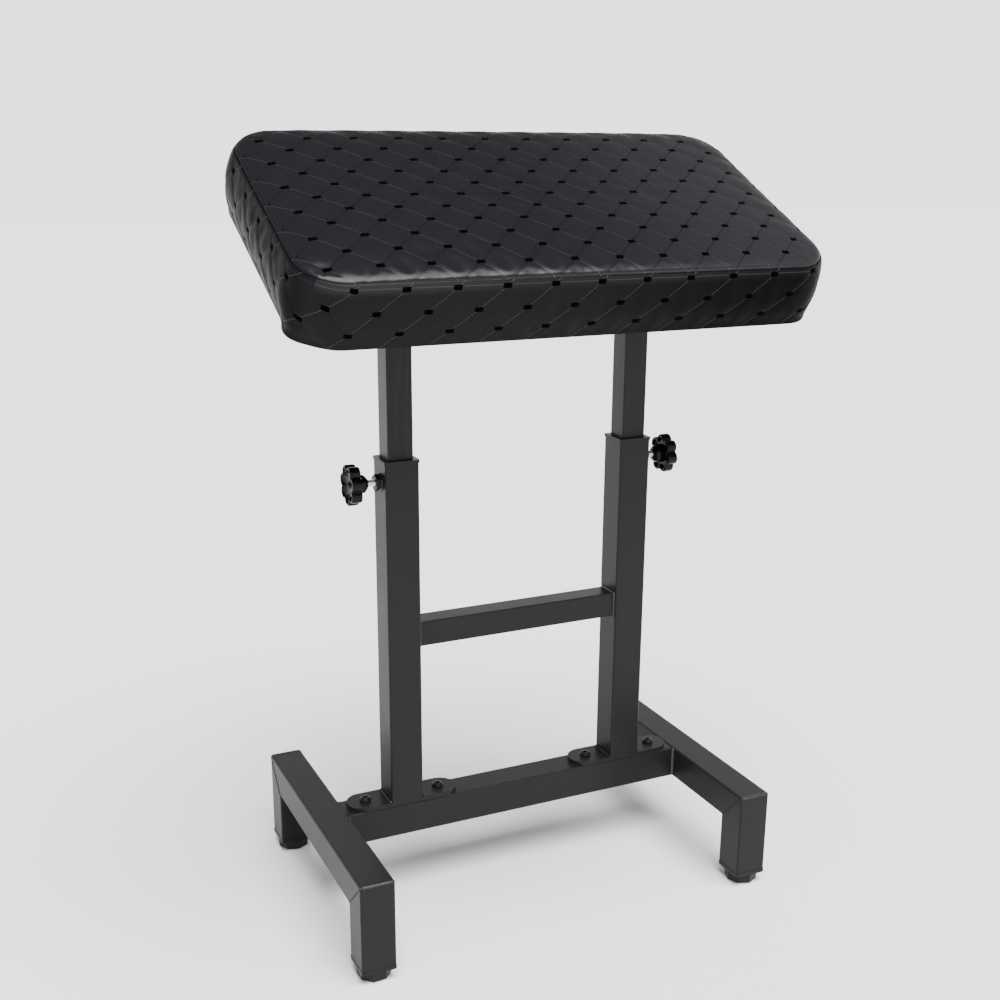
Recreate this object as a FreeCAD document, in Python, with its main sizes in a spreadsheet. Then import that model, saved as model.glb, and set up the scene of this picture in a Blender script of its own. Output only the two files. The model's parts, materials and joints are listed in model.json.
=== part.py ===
import FreeCAD, Part
import math
import os
import Sketcher
from types import SimpleNamespace

# Tattoo arm rest stand: a quilted pad that tilts on two telescoping posts over an H-shaped base.
# X runs along the crossbeam, Y from front to rear and Z up from the floor.
# The origin is on the floor under the middle of the base.

# Driving dimensions in millimetres and degrees, each set by itself.
SIZES = {
    # Square tube of the foot rails, legs, crossbeam and outer posts
    "tube_side": 40.0,
    "tube_wall": 1.5,
    "tube_corner": 2.5,
    # Base with its two foot rails and turned-down legs
    "rail_length": 350.0,
    "rail_top": 121.0,
    # Square plastic plugs in the legs and the screw feet under them
    "plug_lip": 4.5,
    "plug_proud": 0.4,
    "plug_depth": 24.0,
    "plug_wall": 2.2,
    "plug_boss": 20.0,
    "foot_height": 12.5,
    "foot_across": 36.0,
    "foot_chamfer": 1.5,
    "foot_stud_length": 42.0,
    "foot_stud_seat": 8.0,
    # Outer posts, their plates and the brace between them
    "post_spacing": 298.0,
    "post_length": 412.0,
    "plate_length": 138.0,
    "plate_thickness": 5.0,
    "plate_bolt_spacing": 93.0,
    "plate_end_gap": 5.0,
    "brace_side": 30.0,
    "brace_corner": 2.0,
    "brace_height": 332.0,
    # Metric threads, nuts and heads of the size eight fasteners
    "thread": 8.0,
    "thread_hole": 9.0,
    "nut_across": 13.0,
    "clamp_nut_across": 17.0,
    "nut_height": 6.5,
    "bolt_head_height": 5.3,
    "button_head": 14.0,
    "button_height": 4.4,
    "socket_across": 5.0,
    "socket_depth": 2.6,
    "base_bolt_length": 20.0,
    "rivet_nut_body": 11.0,
    "rivet_nut_rim": 13.0,
    "rivet_nut_sink": 1.0,
    "rivet_nut_length": 15.0,
    "rivet_nut_bulge": 14.0,
    "rivet_bulge_height": 3.0,
    # Guide sleeves in the tops of the outer posts
    "sleeve_flange": 3.5,
    "sleeve_proud": 0.8,
    "sleeve_depth": 42.0,
    # Inner posts with their plastic ends
    "inner_side": 30.0,
    "inner_corner": 2.0,
    "inner_bottom": 275.0,
    "inner_above_pivot": 10.0,
    "glide_height": 12.0,
    "glide_insert": 14.0,
    "glide_wall": 2.0,
    "cap_height": 2.5,
    "cap_insert": 5.0,
    # Star knobs that clamp the height
    "clamp_drop": 23.0,
    "knob_gap": 8.5,
    "knob_diameter": 47.0,
    "knob_scallop": 16.0,
    "knob_scallop_depth": 3.2,
    "knob_lobe_fillet": 3.5,
    "knob_rim": 12.5,
    "knob_wall": 4.0,
    "knob_depth": 24.0,
    "knob_hub": 21.0,
    "knob_hub_chamfer": 3.0,
    "knob_dish": 3.0,
    "knob_grip": 16.0,
    "knob_chamfer": 1.0,
    # Tilt joint on each inner post
    "pivot_height": 728.0,
    "pivot_drop": 28.0,
    "pivot_forward": 1.0,
    "pad_tilt": 26.0,
    "tilt_travel": 60.0,
    "slot_radius": 34.0,
    "slot_play": 0.6,
    "bracket_thickness": 3.0,
    "bracket_edge": 8.0,
    "bracket_front": 48.0,
    "bracket_rear": 44.0,
    "bracket_cheek": 12.0,
    "bracket_bend": 2.0,
    "flange_width": 44.0,
    "screw_span": 64.0,
    "screw_columns": 24.0,
    "slip_washer": 24.0,
    "slip_washer_thickness": 1.0,
    "steel_washer": 20.0,
    "steel_washer_thickness": 1.6,
    "coach_head": 18.0,
    "coach_head_height": 4.0,
    "tilt_knob_diameter": 32.0,
    "tilt_knob_scallop": 14.0,
    "tilt_knob_rim": 10.0,
    "tilt_knob_depth": 15.0,
    "tilt_knob_hub": 16.0,
    "tilt_knob_grip": 10.0,
    # Screws and tee nuts that hold the pad board
    "screw_thread": 6.0,
    "screw_hole": 6.6,
    "screw_head": 12.0,
    "screw_head_height": 3.4,
    "screw_tip": 1.0,
    "tee_flange": 19.0,
    "tee_flange_thickness": 1.2,
    "tee_barrel": 7.8,
    "tee_barrel_length": 8.0,
    # Pad: cover, foam, board and underside cloth
    "pad_length": 605.0,
    "pad_depth": 305.0,
    "pad_height": 72.0,
    "pad_corner": 50.0,
    "pad_crown": 14.0,
    "pad_bulge": 3.0,
    "pad_tuck": 2.5,
    "pad_puff": 3.2,
    "mark_row_top": 8.0,
    "mark_row_step": 24.5,
    "cover_thickness": 1.6,
    "cover_wadding": 3.0,
    "hem_width": 34.0,
    "cloth_thickness": 0.8,
    "board_thickness": 12.0,
    "board_inset": 14.0,
    # Fits between pieces, and the overrun of every cut
    "fit_gap": 0.1,
    "thread_gap": 0.05,
    "slide_gap": 0.3,
    "soft_gap": 0.3,
    "overrun": 2.0,
}

# Counts of lobes and of quilting half steps
KNOB_LOBES = 7
TILT_KNOB_LOBES = 5
STEPS_ALONG = 24
STEPS_ACROSS = 12

# Turn of each foot about its screw, as the photograph shows them, in degrees
FOOT_TURNS = {"front_left": 26.0, "rear_left": 4.0, "front_right": 3.0, "rear_right": 15.0}

# Rows of the quilting down the pad's side, from the hem up to the seam
STEPS_UP = 4

# Shape of the crown: 1 is a tent, larger is flatter in the middle and steeper at the seam
CROWN_POWER_ALONG = 4.0
CROWN_POWER_ACROSS = 2.6

# How late the lower edge of the pad tucks under: larger is later and tighter
TUCK_POWER = 6

# Quilting: height of a puff halfway between its middle and a stitched crossing
HALF_PUFF_SHARE = 0.85

# Boxing: how much of the pad's height one bulge takes up, as a share of the way to the hem
BULGE_RATE_SHARE = 1.1

# Lead-in of every threaded end, as a share of the thread
LEAD_SHARE = 0.125

# Rounded head of a button bolt: shares of its radius and height, from the rim to the flat top
BUTTON_SHARES = [(1.0, 0.2), (0.9, 0.5), (0.72, 0.8), (0.5, 1.0)]

# Bevel of a coach bolt's head, as a share of its height
COACH_BEVEL_SHARE = 0.45

# Bevelled rim of a bracket screw's head: shares of its radius and height
SCREW_TOP_SHARE = 0.7
SCREW_RIM_SHARE = 1 / 3

SIDES = {"left": -1, "right": 1}
ENDS = {"front": -1, "rear": 1}

doc = FreeCAD.newDocument("ArmRestStand")
sheet = doc.addObject("Spreadsheet::Sheet", "Sizes")
for row, (alias, number) in enumerate(SIZES.items(), 1):
    sheet.set(f"A{row}", alias)
    sheet.set(f"B{row}", str(number))
    sheet.setAlias(f"B{row}", alias)
doc.recompute()


class Size:
    # A length or angle that knows its value and the sheet formula it comes from.
    def __init__(self, value, text):
        self.value = value
        self.text = text

    def __add__(self, other):
        other = as_size(other)
        return Size(self.value + other.value, f"({self.text} + {other.text})")

    def __sub__(self, other):
        other = as_size(other)
        return Size(self.value - other.value, f"({self.text} - {other.text})")

    def __mul__(self, other):
        other = as_size(other)
        return Size(self.value * other.value, f"({self.text} * {other.text})")

    def __truediv__(self, other):
        other = as_size(other)
        return Size(self.value / other.value, f"({self.text} / {other.text})")

    def __radd__(self, other):
        return as_size(other) + self

    def __rsub__(self, other):
        return as_size(other) - self

    def __rmul__(self, other):
        return as_size(other) * self

    def __neg__(self):
        return Size(-self.value, f"(0 - {self.text})")


def as_size(number):
    if isinstance(number, Size):
        return number
    return Size(float(number), str(round(float(number), 9)))


def sine(angle):
    return Size(math.sin(math.radians(angle.value)), f"sin({angle.text})")


def cosine(angle):
    return Size(math.cos(math.radians(angle.value)), f"cos({angle.text})")


s = SimpleNamespace(**{alias: Size(number, f"Sizes.{alias}") for alias, number in SIZES.items()})


# Bodies, sketches and features, each bound to the sheet

def new_body(label):
    made = doc.addObject("PartDesign::Body", label)
    made.Label = label
    return made


def new_sketch(body, plane, lift=0):
    made = body.newObject("Sketcher::SketchObject", "Sketch")
    origin = next(item for item in body.Origin.OriginFeatures if item.Role == plane)
    made.AttachmentSupport = (origin, [""])
    made.MapMode = "FlatFace"
    made.setExpression("AttachmentOffset.Base.z", as_size(lift).text)
    return made


def dimension(sketch, kind, geometry, size, point=None):
    size = as_size(size)
    if point is None:
        index = sketch.addConstraint(Sketcher.Constraint(kind, geometry, size.value))
    else:
        index = sketch.addConstraint(Sketcher.Constraint(kind, -1, 1, geometry, point, size.value))
    sketch.setExpression(f"Constraints[{index}]", size.text)


def join(sketch, kind, *ends):
    sketch.addConstraint(Sketcher.Constraint(kind, *ends))


def vector(x, y, z=0):
    return FreeCAD.Vector(as_size(x).value, as_size(y).value, as_size(z).value)


def polygon(sketch, corners):
    first = sketch.GeometryCount
    count = len(corners)
    for start, end in zip(corners, corners[1:] + corners[:1]):
        sketch.addGeometry(Part.LineSegment(vector(*start), vector(*end)))
    for index, (across, up) in enumerate(corners):
        join(sketch, "Coincident", first + index, 2, first + (index + 1) % count, 1)
        dimension(sketch, "DistanceX", first + index, across, 1)
        dimension(sketch, "DistanceY", first + index, up, 1)


def rectangle(sketch, left, right, low, high):
    polygon(sketch, [(left, low), (right, low), (right, high), (left, high)])


def regular(sketch, sides, across, turn=0.0):
    reach = across / (2 * math.cos(math.pi / sides))
    angles = [math.radians(turn) + 2 * math.pi * index / sides for index in range(sides)]
    polygon(sketch, [(reach * math.cos(angle), reach * math.sin(angle)) for angle in angles])


def circle(sketch, diameter, across=0, up=0):
    first = sketch.GeometryCount
    round_edge = Part.Circle(vector(across, up), FreeCAD.Vector(0, 0, 1), as_size(diameter).value / 2)
    sketch.addGeometry(round_edge)
    dimension(sketch, "Diameter", first, diameter)
    dimension(sketch, "DistanceX", first, across, 3)
    dimension(sketch, "DistanceY", first, up, 3)


def arc(sketch, across, up, radius, start, end):
    middle = vector(across, up)
    whole = Part.Circle(middle, FreeCAD.Vector(0, 0, 1), as_size(radius).value)
    sketch.addGeometry(Part.ArcOfCircle(whole, math.radians(start), math.radians(end)))


def rounded_plate(sketch, length, depth, corner, middle=0):
    first = sketch.GeometryCount
    across, up = length / 2, depth / 2
    flat, rise = across - corner, up - corner
    ends = [(-flat, -up, flat, -up), (across, -rise, across, rise),
            (flat, up, -flat, up), (-across, rise, -across, -rise)]
    for x_start, y_start, x_end, y_end in ends:
        start = vector(x_start, middle + y_start)
        sketch.addGeometry(Part.LineSegment(start, vector(x_end, middle + y_end)))
    for index, (x_turn, y_turn) in enumerate([(flat, -rise), (flat, rise), (-flat, rise), (-flat, -rise)]):
        arc(sketch, x_turn, middle + y_turn, corner, 90 * index - 90, 90 * index)
    for index in range(4):
        join(sketch, "Tangent", first + index, 2, first + 4 + index, 1)
        join(sketch, "Tangent", first + 4 + index, 2, first + (index + 1) % 4, 1)
        join(sketch, "Horizontal" if index % 2 == 0 else "Vertical", first + index)
    for index in range(3):
        join(sketch, "Equal", first + 4 + index, first + 5 + index)
    dimension(sketch, "DistanceY", first, middle - up, 1)
    dimension(sketch, "DistanceX", first + 1, across, 1)
    dimension(sketch, "DistanceY", first + 2, middle + up, 1)
    dimension(sketch, "DistanceX", first + 3, -across, 1)
    dimension(sketch, "Radius", first + 4, corner)


def rounded_square(sketch, side, corner):
    rounded_plate(sketch, side, side, corner)


def round_ended(sketch, length, width):
    first = sketch.GeometryCount
    reach, half = (length - width) / 2, width / 2
    sketch.addGeometry(Part.LineSegment(vector(-reach, -half), vector(reach, -half)))
    arc(sketch, reach, 0, half, -90, 90)
    sketch.addGeometry(Part.LineSegment(vector(reach, half), vector(-reach, half)))
    arc(sketch, -reach, 0, half, 90, 270)
    for index in range(4):
        join(sketch, "Tangent", first + index, 2, first + (index + 1) % 4, 1)
    join(sketch, "Equal", first + 1, first + 3)
    dimension(sketch, "Radius", first + 1, half)
    dimension(sketch, "DistanceX", first + 1, reach, 3)
    dimension(sketch, "DistanceY", first + 1, 0, 3)
    dimension(sketch, "DistanceX", first + 3, -reach, 3)
    dimension(sketch, "DistanceY", first + 3, 0, 3)


def pad(sketch, length, midplane=False, reverse=False):
    made = sketch.getParentGeoFeatureGroup().newObject("PartDesign::Pad", "Pad")
    made.Profile = sketch
    made.Midplane = midplane
    made.Reversed = reverse
    made.setExpression("Length", as_size(length).text)
    return made


def pocket(sketch, depth=None, reverse=False):
    made = sketch.getParentGeoFeatureGroup().newObject("PartDesign::Pocket", "Pocket")
    made.Profile = sketch
    made.Reversed = reverse
    if depth is None:
        made.Type = "ThroughAll"
        made.Midplane = True
    else:
        made.setExpression("Length", as_size(depth).text)
    return made


def revolve(sketch, axis="Z_Axis"):
    body = sketch.getParentGeoFeatureGroup()
    made = body.newObject("PartDesign::Revolution", "Revolution")
    made.Profile = sketch
    made.ReferenceAxis = (next(item for item in body.Origin.OriginFeatures if item.Role == axis), [""])
    made.Angle = 360
    return made


def dress(kind, body, radius, wanted):
    doc.recompute()
    base = body.Tip
    names = [f"Edge{number}" for number, edge in enumerate(base.Shape.Edges, 1) if wanted(edge)]
    made = body.newObject(f"PartDesign::{kind}", kind)
    made.Base = (base, names)
    made.setExpression("Radius" if kind == "Fillet" else "Size", as_size(radius).text)
    return made


def place(item, x=0, y=0, z=0, turn_axis=(0, 0, 1), turn=0):
    item.Placement = FreeCAD.Placement(FreeCAD.Vector(), FreeCAD.Rotation(FreeCAD.Vector(*turn_axis), turn))
    for name, size in zip("xyz", (x, y, z)):
        item.setExpression(f".Placement.Base.{name}", as_size(size).text)


def level(edge, height):
    box, near = edge.BoundBox, s.fit_gap.value
    return box.ZLength < near and abs(box.Center.z - height.value) < near


nodes = []


def keep(item):
    nodes.append(item)
    return item


def group(label, master, spots):
    # Identical fasteners: placed copies of one modelled piece, kept together as separate solids.
    copies = []
    for x, y, z, turn_axis, turn in spots:
        copy = doc.addObject("App::Link", f"{label}_copy")
        copy.LinkedObject = master
        place(copy, x, y, z, turn_axis, turn)
        copies.append(copy)
    made = doc.addObject("Part::Compound", label)
    made.Label = label
    made.Links = copies
    return keep(made)


# Places that several pieces share
beam_middle = s.rail_top - s.tube_side / 2
post_x = s.post_spacing / 2
rail_inner = post_x + s.plate_length / 2 + s.plate_end_gap
rail_x = rail_inner + s.tube_side / 2
leg_y = (s.rail_length - s.tube_side) / 2
leg_bottom = s.foot_height + s.plug_lip
leg_length = s.rail_top - leg_bottom
post_bottom = s.rail_top + s.plate_thickness
post_top = post_bottom + s.post_length
tube_bore = s.tube_side - 2 * s.tube_wall
inner_bore = s.inner_side - 2 * s.tube_wall
clamp_height = post_top - s.clamp_drop
post_face = post_x + s.tube_side / 2
inner_face = post_x + s.inner_side / 2
inner_top = s.pivot_height + s.inner_above_pivot
clamp_bolt_height = s.pivot_height - s.slot_radius
bracket_inside = inner_face + s.slip_washer_thickness + s.fit_gap
bracket_outside = bracket_inside + s.bracket_thickness
running_hole = s.thread + 2 * s.thread_gap
OUTWARD = {"left": ((0, 1, 0), -90), "right": ((0, 1, 0), 90)}
HALF_TURN = {"left": 180, "right": 0}


# Base: crossbeam, foot rails and legs

def tube(label, plane, side, wall, corner, length, midplane):
    body = new_body(label)
    section = new_sketch(body, plane)
    rounded_square(section, side, corner)
    rounded_square(section, side - 2 * wall, corner - wall / 2)
    pad(section, length, midplane)
    return keep(body)


def crossbeam():
    body = tube("crossbeam", "YZ_Plane", s.tube_side, s.tube_wall, s.tube_corner,
                2 * rail_inner, True)
    holes = new_sketch(body, "XY_Plane", s.tube_side / 2)
    for x in bolt_places():
        circle(holes, s.rivet_nut_body + 2 * s.fit_gap, x)
    pocket(holes, s.tube_side / 2)
    top = s.tube_side / 2
    dress("Chamfer", body, s.rivet_nut_sink,
          lambda edge: level(edge, top) and isinstance(edge.Curve, Part.Circle))
    place(body, z=beam_middle)


def bolt_places():
    half = s.plate_bolt_spacing / 2
    return [-post_x - half, -post_x + half, post_x - half, post_x + half]


def foot_rail(side, sign):
    body = tube(f"{side}_foot_rail", "XZ_Plane", s.tube_side, s.tube_wall, s.tube_corner, s.rail_length, True)
    end, half, over = s.rail_length / 2, s.tube_side / 2, s.overrun
    for way in ENDS.values():
        mitre = new_sketch(body, "YZ_Plane")
        inner_end = (end - s.tube_side - over) * way
        polygon(mitre, [((end + over) * way, -half - over), ((end + over) * way, half + over),
                        (inner_end, -half - over)])
        pocket(mitre)
    place(body, rail_x * sign, 0, beam_middle)


def leg(end, way, side, sign):
    body = tube(f"{end}_{side}_leg", "XY_Plane", s.tube_side, s.tube_wall, s.tube_corner, leg_length, False)
    half, over = s.tube_side / 2, s.overrun
    mitre = new_sketch(body, "YZ_Plane")
    polygon(mitre, [(half + over, leg_length + over), (-half - over, leg_length + over),
                    (-half - over, leg_length - s.tube_side - over)])
    pocket(mitre)
    place(body, rail_x * sign, leg_y * way, leg_bottom, turn=0 if way > 0 else 180)


# Leg plugs with their captive nuts, and the screw feet

def leg_plug(end, way, side, sign):
    body = new_body(f"{end}_{side}_leg_plug")
    outside = tube_bore - 2 * s.fit_gap
    lip = new_sketch(body, "XY_Plane")
    rounded_square(lip, s.tube_side + 2 * s.plug_proud, s.tube_corner)
    pad(lip, s.plug_lip)
    walls = new_sketch(body, "XY_Plane", s.plug_lip)
    rounded_square(walls, outside, s.tube_corner - s.tube_wall / 2)
    rounded_square(walls, outside - 2 * s.plug_wall, s.tube_corner - s.tube_wall / 2)
    pad(walls, s.plug_depth)
    web = (outside - s.plug_wall) / 2
    for plane_x, plane_y in ((web, s.plug_wall / 2), (s.plug_wall / 2, web)):
        cross = new_sketch(body, "XY_Plane", s.plug_lip)
        rectangle(cross, -plane_x, plane_x, -plane_y, plane_y)
        pad(cross, s.plug_depth - s.plug_wall)
    boss = new_sketch(body, "XY_Plane", s.plug_lip)
    circle(boss, s.plug_boss)
    pad(boss, s.plug_depth - s.plug_wall)
    nest = new_sketch(body, "XY_Plane", s.plug_lip + s.plug_depth - s.plug_wall)
    regular(nest, 6, s.nut_across + 2 * s.fit_gap)
    pocket(nest, s.nut_height)
    bore = new_sketch(body, "XY_Plane")
    circle(bore, running_hole)
    pocket(bore)
    place(body, rail_x * sign, leg_y * way, s.foot_height)
    return keep(body)


def hex_nut(label, height, across):
    body = new_body(label)
    outline = new_sketch(body, "XY_Plane")
    regular(outline, 6, across)
    circle(outline, running_hole)
    pad(outline, height)
    return body


def foot(end, way, side, sign):
    corner = f"{end}_{side}"
    stud = new_body(f"{corner}_foot_stud")
    shank = new_sketch(stud, "XY_Plane")
    circle(shank, s.thread)
    pad(shank, s.foot_stud_length)
    dress("Chamfer", stud, s.thread * LEAD_SHARE, lambda edge: level(edge, s.foot_stud_length))
    place(stud, rail_x * sign, leg_y * way, s.foot_height - s.foot_stud_seat)
    base = new_body(f"{corner}_foot_base")
    outline = new_sketch(base, "XY_Plane")
    regular(outline, 8, s.foot_across)
    pad(outline, s.foot_height)
    dress("Chamfer", base, s.foot_chamfer,
          lambda edge: level(edge, s.foot_height) or level(edge, as_size(0)))
    seat = new_sketch(base, "XY_Plane", s.foot_height)
    circle(seat, running_hole)
    pocket(seat, s.foot_stud_seat + s.thread_gap)
    place(base, rail_x * sign, leg_y * way, 0, turn=FOOT_TURNS[corner])
    keep(stud)
    keep(base)


# Outer posts with plates, bolts, brace, clamp nuts and guide sleeves

def post_plate(side, sign):
    body = new_body(f"{side}_post_plate")
    outline = new_sketch(body, "XY_Plane")
    round_ended(outline, s.plate_length, s.tube_side)
    for way in (-1, 1):
        circle(outline, s.thread_hole, s.plate_bolt_spacing / 2 * way)
    pad(outline, s.plate_thickness)
    place(body, post_x * sign, 0, s.rail_top)
    keep(body)


def base_bolt():
    body = new_body("base_bolt")
    profile = new_sketch(body, "XZ_Plane")
    head, shank = s.button_head / 2, s.thread / 2
    dome = s.button_height
    lead = s.thread * LEAD_SHARE
    polygon(profile, [(0, -s.base_bolt_length), (shank - lead, -s.base_bolt_length),
                      (shank, lead - s.base_bolt_length), (shank, 0), (head, 0)]
            + [(head * across, dome * up) for across, up in BUTTON_SHARES] + [(0, dome)])
    revolve(profile)
    socket = new_sketch(body, "XY_Plane", dome)
    regular(socket, 6, s.socket_across)
    pocket(socket, s.socket_depth)
    return body


def rivet_nut():
    body = new_body("rivet_nut")
    profile = new_sketch(body, "XZ_Plane")
    bore, shell, rim = running_hole / 2, s.rivet_nut_body / 2, s.rivet_nut_rim / 2
    under, bulge = -s.tube_wall - s.fit_gap, s.rivet_nut_bulge / 2
    polygon(profile, [(bore, 0), (rim, 0), (shell, shell - rim), (shell, under), (bulge, under),
                      (bulge, under - s.rivet_bulge_height), (shell, under - s.rivet_bulge_height),
                      (shell, -s.rivet_nut_length), (bore, -s.rivet_nut_length)])
    revolve(profile)
    return body


def outer_post(side):
    body = tube(f"{side}_outer_post", "XY_Plane", s.tube_side, s.tube_wall, s.tube_corner,
                s.post_length, False)
    hole = new_sketch(body, "YZ_Plane", s.tube_side / 2)
    circle(hole, s.thread_hole, 0, clamp_height - post_bottom)
    pocket(hole, s.tube_side / 2)
    place(body, post_x * SIDES[side], 0, post_bottom, turn=HALF_TURN[side])


def guide_sleeve(side):
    body = new_body(f"{side}_guide_sleeve")
    bore = s.inner_side + 2 * s.slide_gap
    bore_corner = s.inner_corner + s.slide_gap
    flange = new_sketch(body, "XY_Plane")
    rounded_square(flange, s.tube_side + 2 * s.sleeve_proud, s.tube_corner)
    rounded_square(flange, bore, bore_corner)
    pad(flange, s.sleeve_flange)
    wall = new_sketch(body, "XY_Plane")
    rounded_square(wall, tube_bore - 2 * s.fit_gap, bore_corner)
    rounded_square(wall, bore, bore_corner)
    pad(wall, s.sleeve_depth, reverse=True)
    hole = new_sketch(body, "YZ_Plane", s.tube_side / 2)
    circle(hole, s.thread_hole, 0, -s.clamp_drop)
    pocket(hole, s.tube_side / 2)
    place(body, post_x * SIDES[side], 0, post_top, turn=HALF_TURN[side])
    keep(body)


# Inner posts with their lower glides and top caps

def inner_post(side):
    body = tube(f"{side}_inner_post", "XY_Plane", s.inner_side, s.tube_wall, s.inner_corner,
                inner_top - s.inner_bottom, False)
    holes = new_sketch(body, "YZ_Plane")
    for height in (s.pivot_height, clamp_bolt_height):
        circle(holes, running_hole, 0, height - s.inner_bottom)
    pocket(holes)
    place(body, post_x * SIDES[side], 0, s.inner_bottom)


def post_glide(side):
    body = new_body(f"{side}_post_glide")
    shoe = new_sketch(body, "XY_Plane")
    rounded_square(shoe, tube_bore - 2 * s.slide_gap, s.tube_corner)
    rounded_square(shoe, inner_bore - 2 * (s.glide_wall + s.fit_gap), s.inner_corner)
    pad(shoe, s.glide_height, reverse=True)
    insert = new_sketch(body, "XY_Plane")
    rounded_square(insert, inner_bore - 2 * s.fit_gap, s.inner_corner)
    rounded_square(insert, inner_bore - 2 * (s.glide_wall + s.fit_gap), s.inner_corner)
    pad(insert, s.glide_insert)
    place(body, post_x * SIDES[side], 0, s.inner_bottom)
    keep(body)


def post_cap(side):
    body = new_body(f"{side}_post_cap")
    top = new_sketch(body, "XY_Plane")
    rounded_square(top, s.inner_side, s.inner_corner)
    pad(top, s.cap_height)
    insert = new_sketch(body, "XY_Plane")
    rounded_square(insert, inner_bore - 2 * s.fit_gap, s.inner_corner)
    rounded_square(insert, inner_bore - 2 * (s.glide_wall + s.fit_gap), s.inner_corner)
    pad(insert, s.cap_insert, reverse=True)
    place(body, post_x * SIDES[side], 0, inner_top)
    keep(body)


# Knobs, studs, bolts and washers along X

def rod(label, length):
    body = new_body(label)
    shank = new_sketch(body, "XY_Plane")
    circle(shank, s.thread)
    pad(shank, length)
    dress("Chamfer", body, s.thread * LEAD_SHARE, lambda edge: level(edge, length) or level(edge, as_size(0)))
    return body


def upright(edge):
    box, near = edge.BoundBox, s.fit_gap.value
    return box.XLength < near and box.YLength < near and box.ZLength > near


def star_knob(label, lobes, diameter, scallop, rim, depth, hub, grip):
    # The hub stands towards the post and the scalloped rim is hollow behind and dished in front.
    body = new_body(label)
    recess = diameter - 2 * s.knob_scallop_depth - s.knob_wall
    disc = new_sketch(body, "XY_Plane", depth - rim)
    circle(disc, diameter)
    pad(disc, rim)
    bite = new_sketch(body, "XY_Plane", depth - rim)
    circle(bite, scallop, (diameter + scallop) / 2 - s.knob_scallop_depth)
    bite_pocket = pocket(bite, rim, reverse=True)
    doc.recompute()
    star = body.newObject("PartDesign::PolarPattern", "Scallops")
    star.Originals = [bite_pocket]
    star.Axis = (next(item for item in body.Origin.OriginFeatures if item.Role == "Z_Axis"), [""])
    star.Angle = 360
    star.Occurrences = lobes
    body.Tip = star
    dress("Fillet", body, s.knob_lobe_fillet, upright)
    for height in (depth, depth - rim):
        dress("Chamfer", body, s.knob_chamfer, lambda edge: level(edge, height))
    hollow = new_sketch(body, "XY_Plane", depth - rim)
    circle(hollow, recess)
    pocket(hollow, rim - s.knob_wall - s.knob_dish, reverse=True)
    dish = new_sketch(body, "XY_Plane", depth)
    circle(dish, recess)
    pocket(dish, s.knob_dish)
    post = new_sketch(body, "XY_Plane")
    circle(post, hub)
    pad(post, depth - s.knob_dish - s.knob_wall / 2)
    dress("Chamfer", body, s.knob_hub_chamfer, lambda edge: level(edge, as_size(0)))
    bore = new_sketch(body, "XY_Plane")
    circle(bore, running_hole)
    pocket(bore, grip + s.fit_gap, reverse=True)
    return keep(body)


def washer(label, diameter, thickness):
    body = new_body(label)
    outline = new_sketch(body, "XY_Plane")
    circle(outline, diameter)
    circle(outline, running_hole)
    pad(outline, thickness)
    return body


def height_clamp(side, sign):
    stud_start = inner_face + s.fit_gap
    knob_start = post_face + s.nut_height + s.knob_gap
    stud = keep(rod(f"{side}_height_stud", knob_start + s.knob_grip - stud_start))
    place(stud, stud_start * sign, 0, clamp_height, *OUTWARD[side])
    knob = star_knob(f"{side}_height_knob", KNOB_LOBES, s.knob_diameter, s.knob_scallop, s.knob_rim,
                     s.knob_depth, s.knob_hub, s.knob_grip)
    place(knob, knob_start * sign, 0, clamp_height, *OUTWARD[side])


def tilt_clamp(side, sign):
    start = bracket_outside + s.fit_gap
    ring = keep(washer(f"{side}_tilt_washer", s.steel_washer, s.steel_washer_thickness))
    place(ring, start * sign, 0, clamp_bolt_height, *OUTWARD[side])
    knob = star_knob(f"{side}_tilt_knob", TILT_KNOB_LOBES, s.tilt_knob_diameter, s.tilt_knob_scallop,
                     s.tilt_knob_rim, s.tilt_knob_depth, s.tilt_knob_hub, s.tilt_knob_grip)
    knob_start = start + s.steel_washer_thickness + s.fit_gap
    place(knob, knob_start * sign, 0, clamp_bolt_height, *OUTWARD[side])


def headed_bolt(label, head_height, length, head_across=None, head_diameter=None):
    # The head's seat is at the local origin, with the shank running away from it.
    body = new_body(label)
    head = new_sketch(body, "XY_Plane")
    if head_across is None:
        circle(head, head_diameter)
    else:
        regular(head, 6, head_across)
    pad(head, head_height)
    if head_across is None:
        dress("Chamfer", body, head_height * COACH_BEVEL_SHARE, lambda edge: level(edge, head_height))
    shank = new_sketch(body, "XY_Plane")
    circle(shank, s.thread)
    pad(shank, length, reverse=True)
    dress("Chamfer", body, s.thread * LEAD_SHARE, lambda edge: level(edge, -length))
    return body


def both_sides(x, z, outward=True):
    return [(x * sign, 0, z, *OUTWARD[side if outward else other])
            for (side, sign), other in zip(SIDES.items(), ("right", "left"))]


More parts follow.
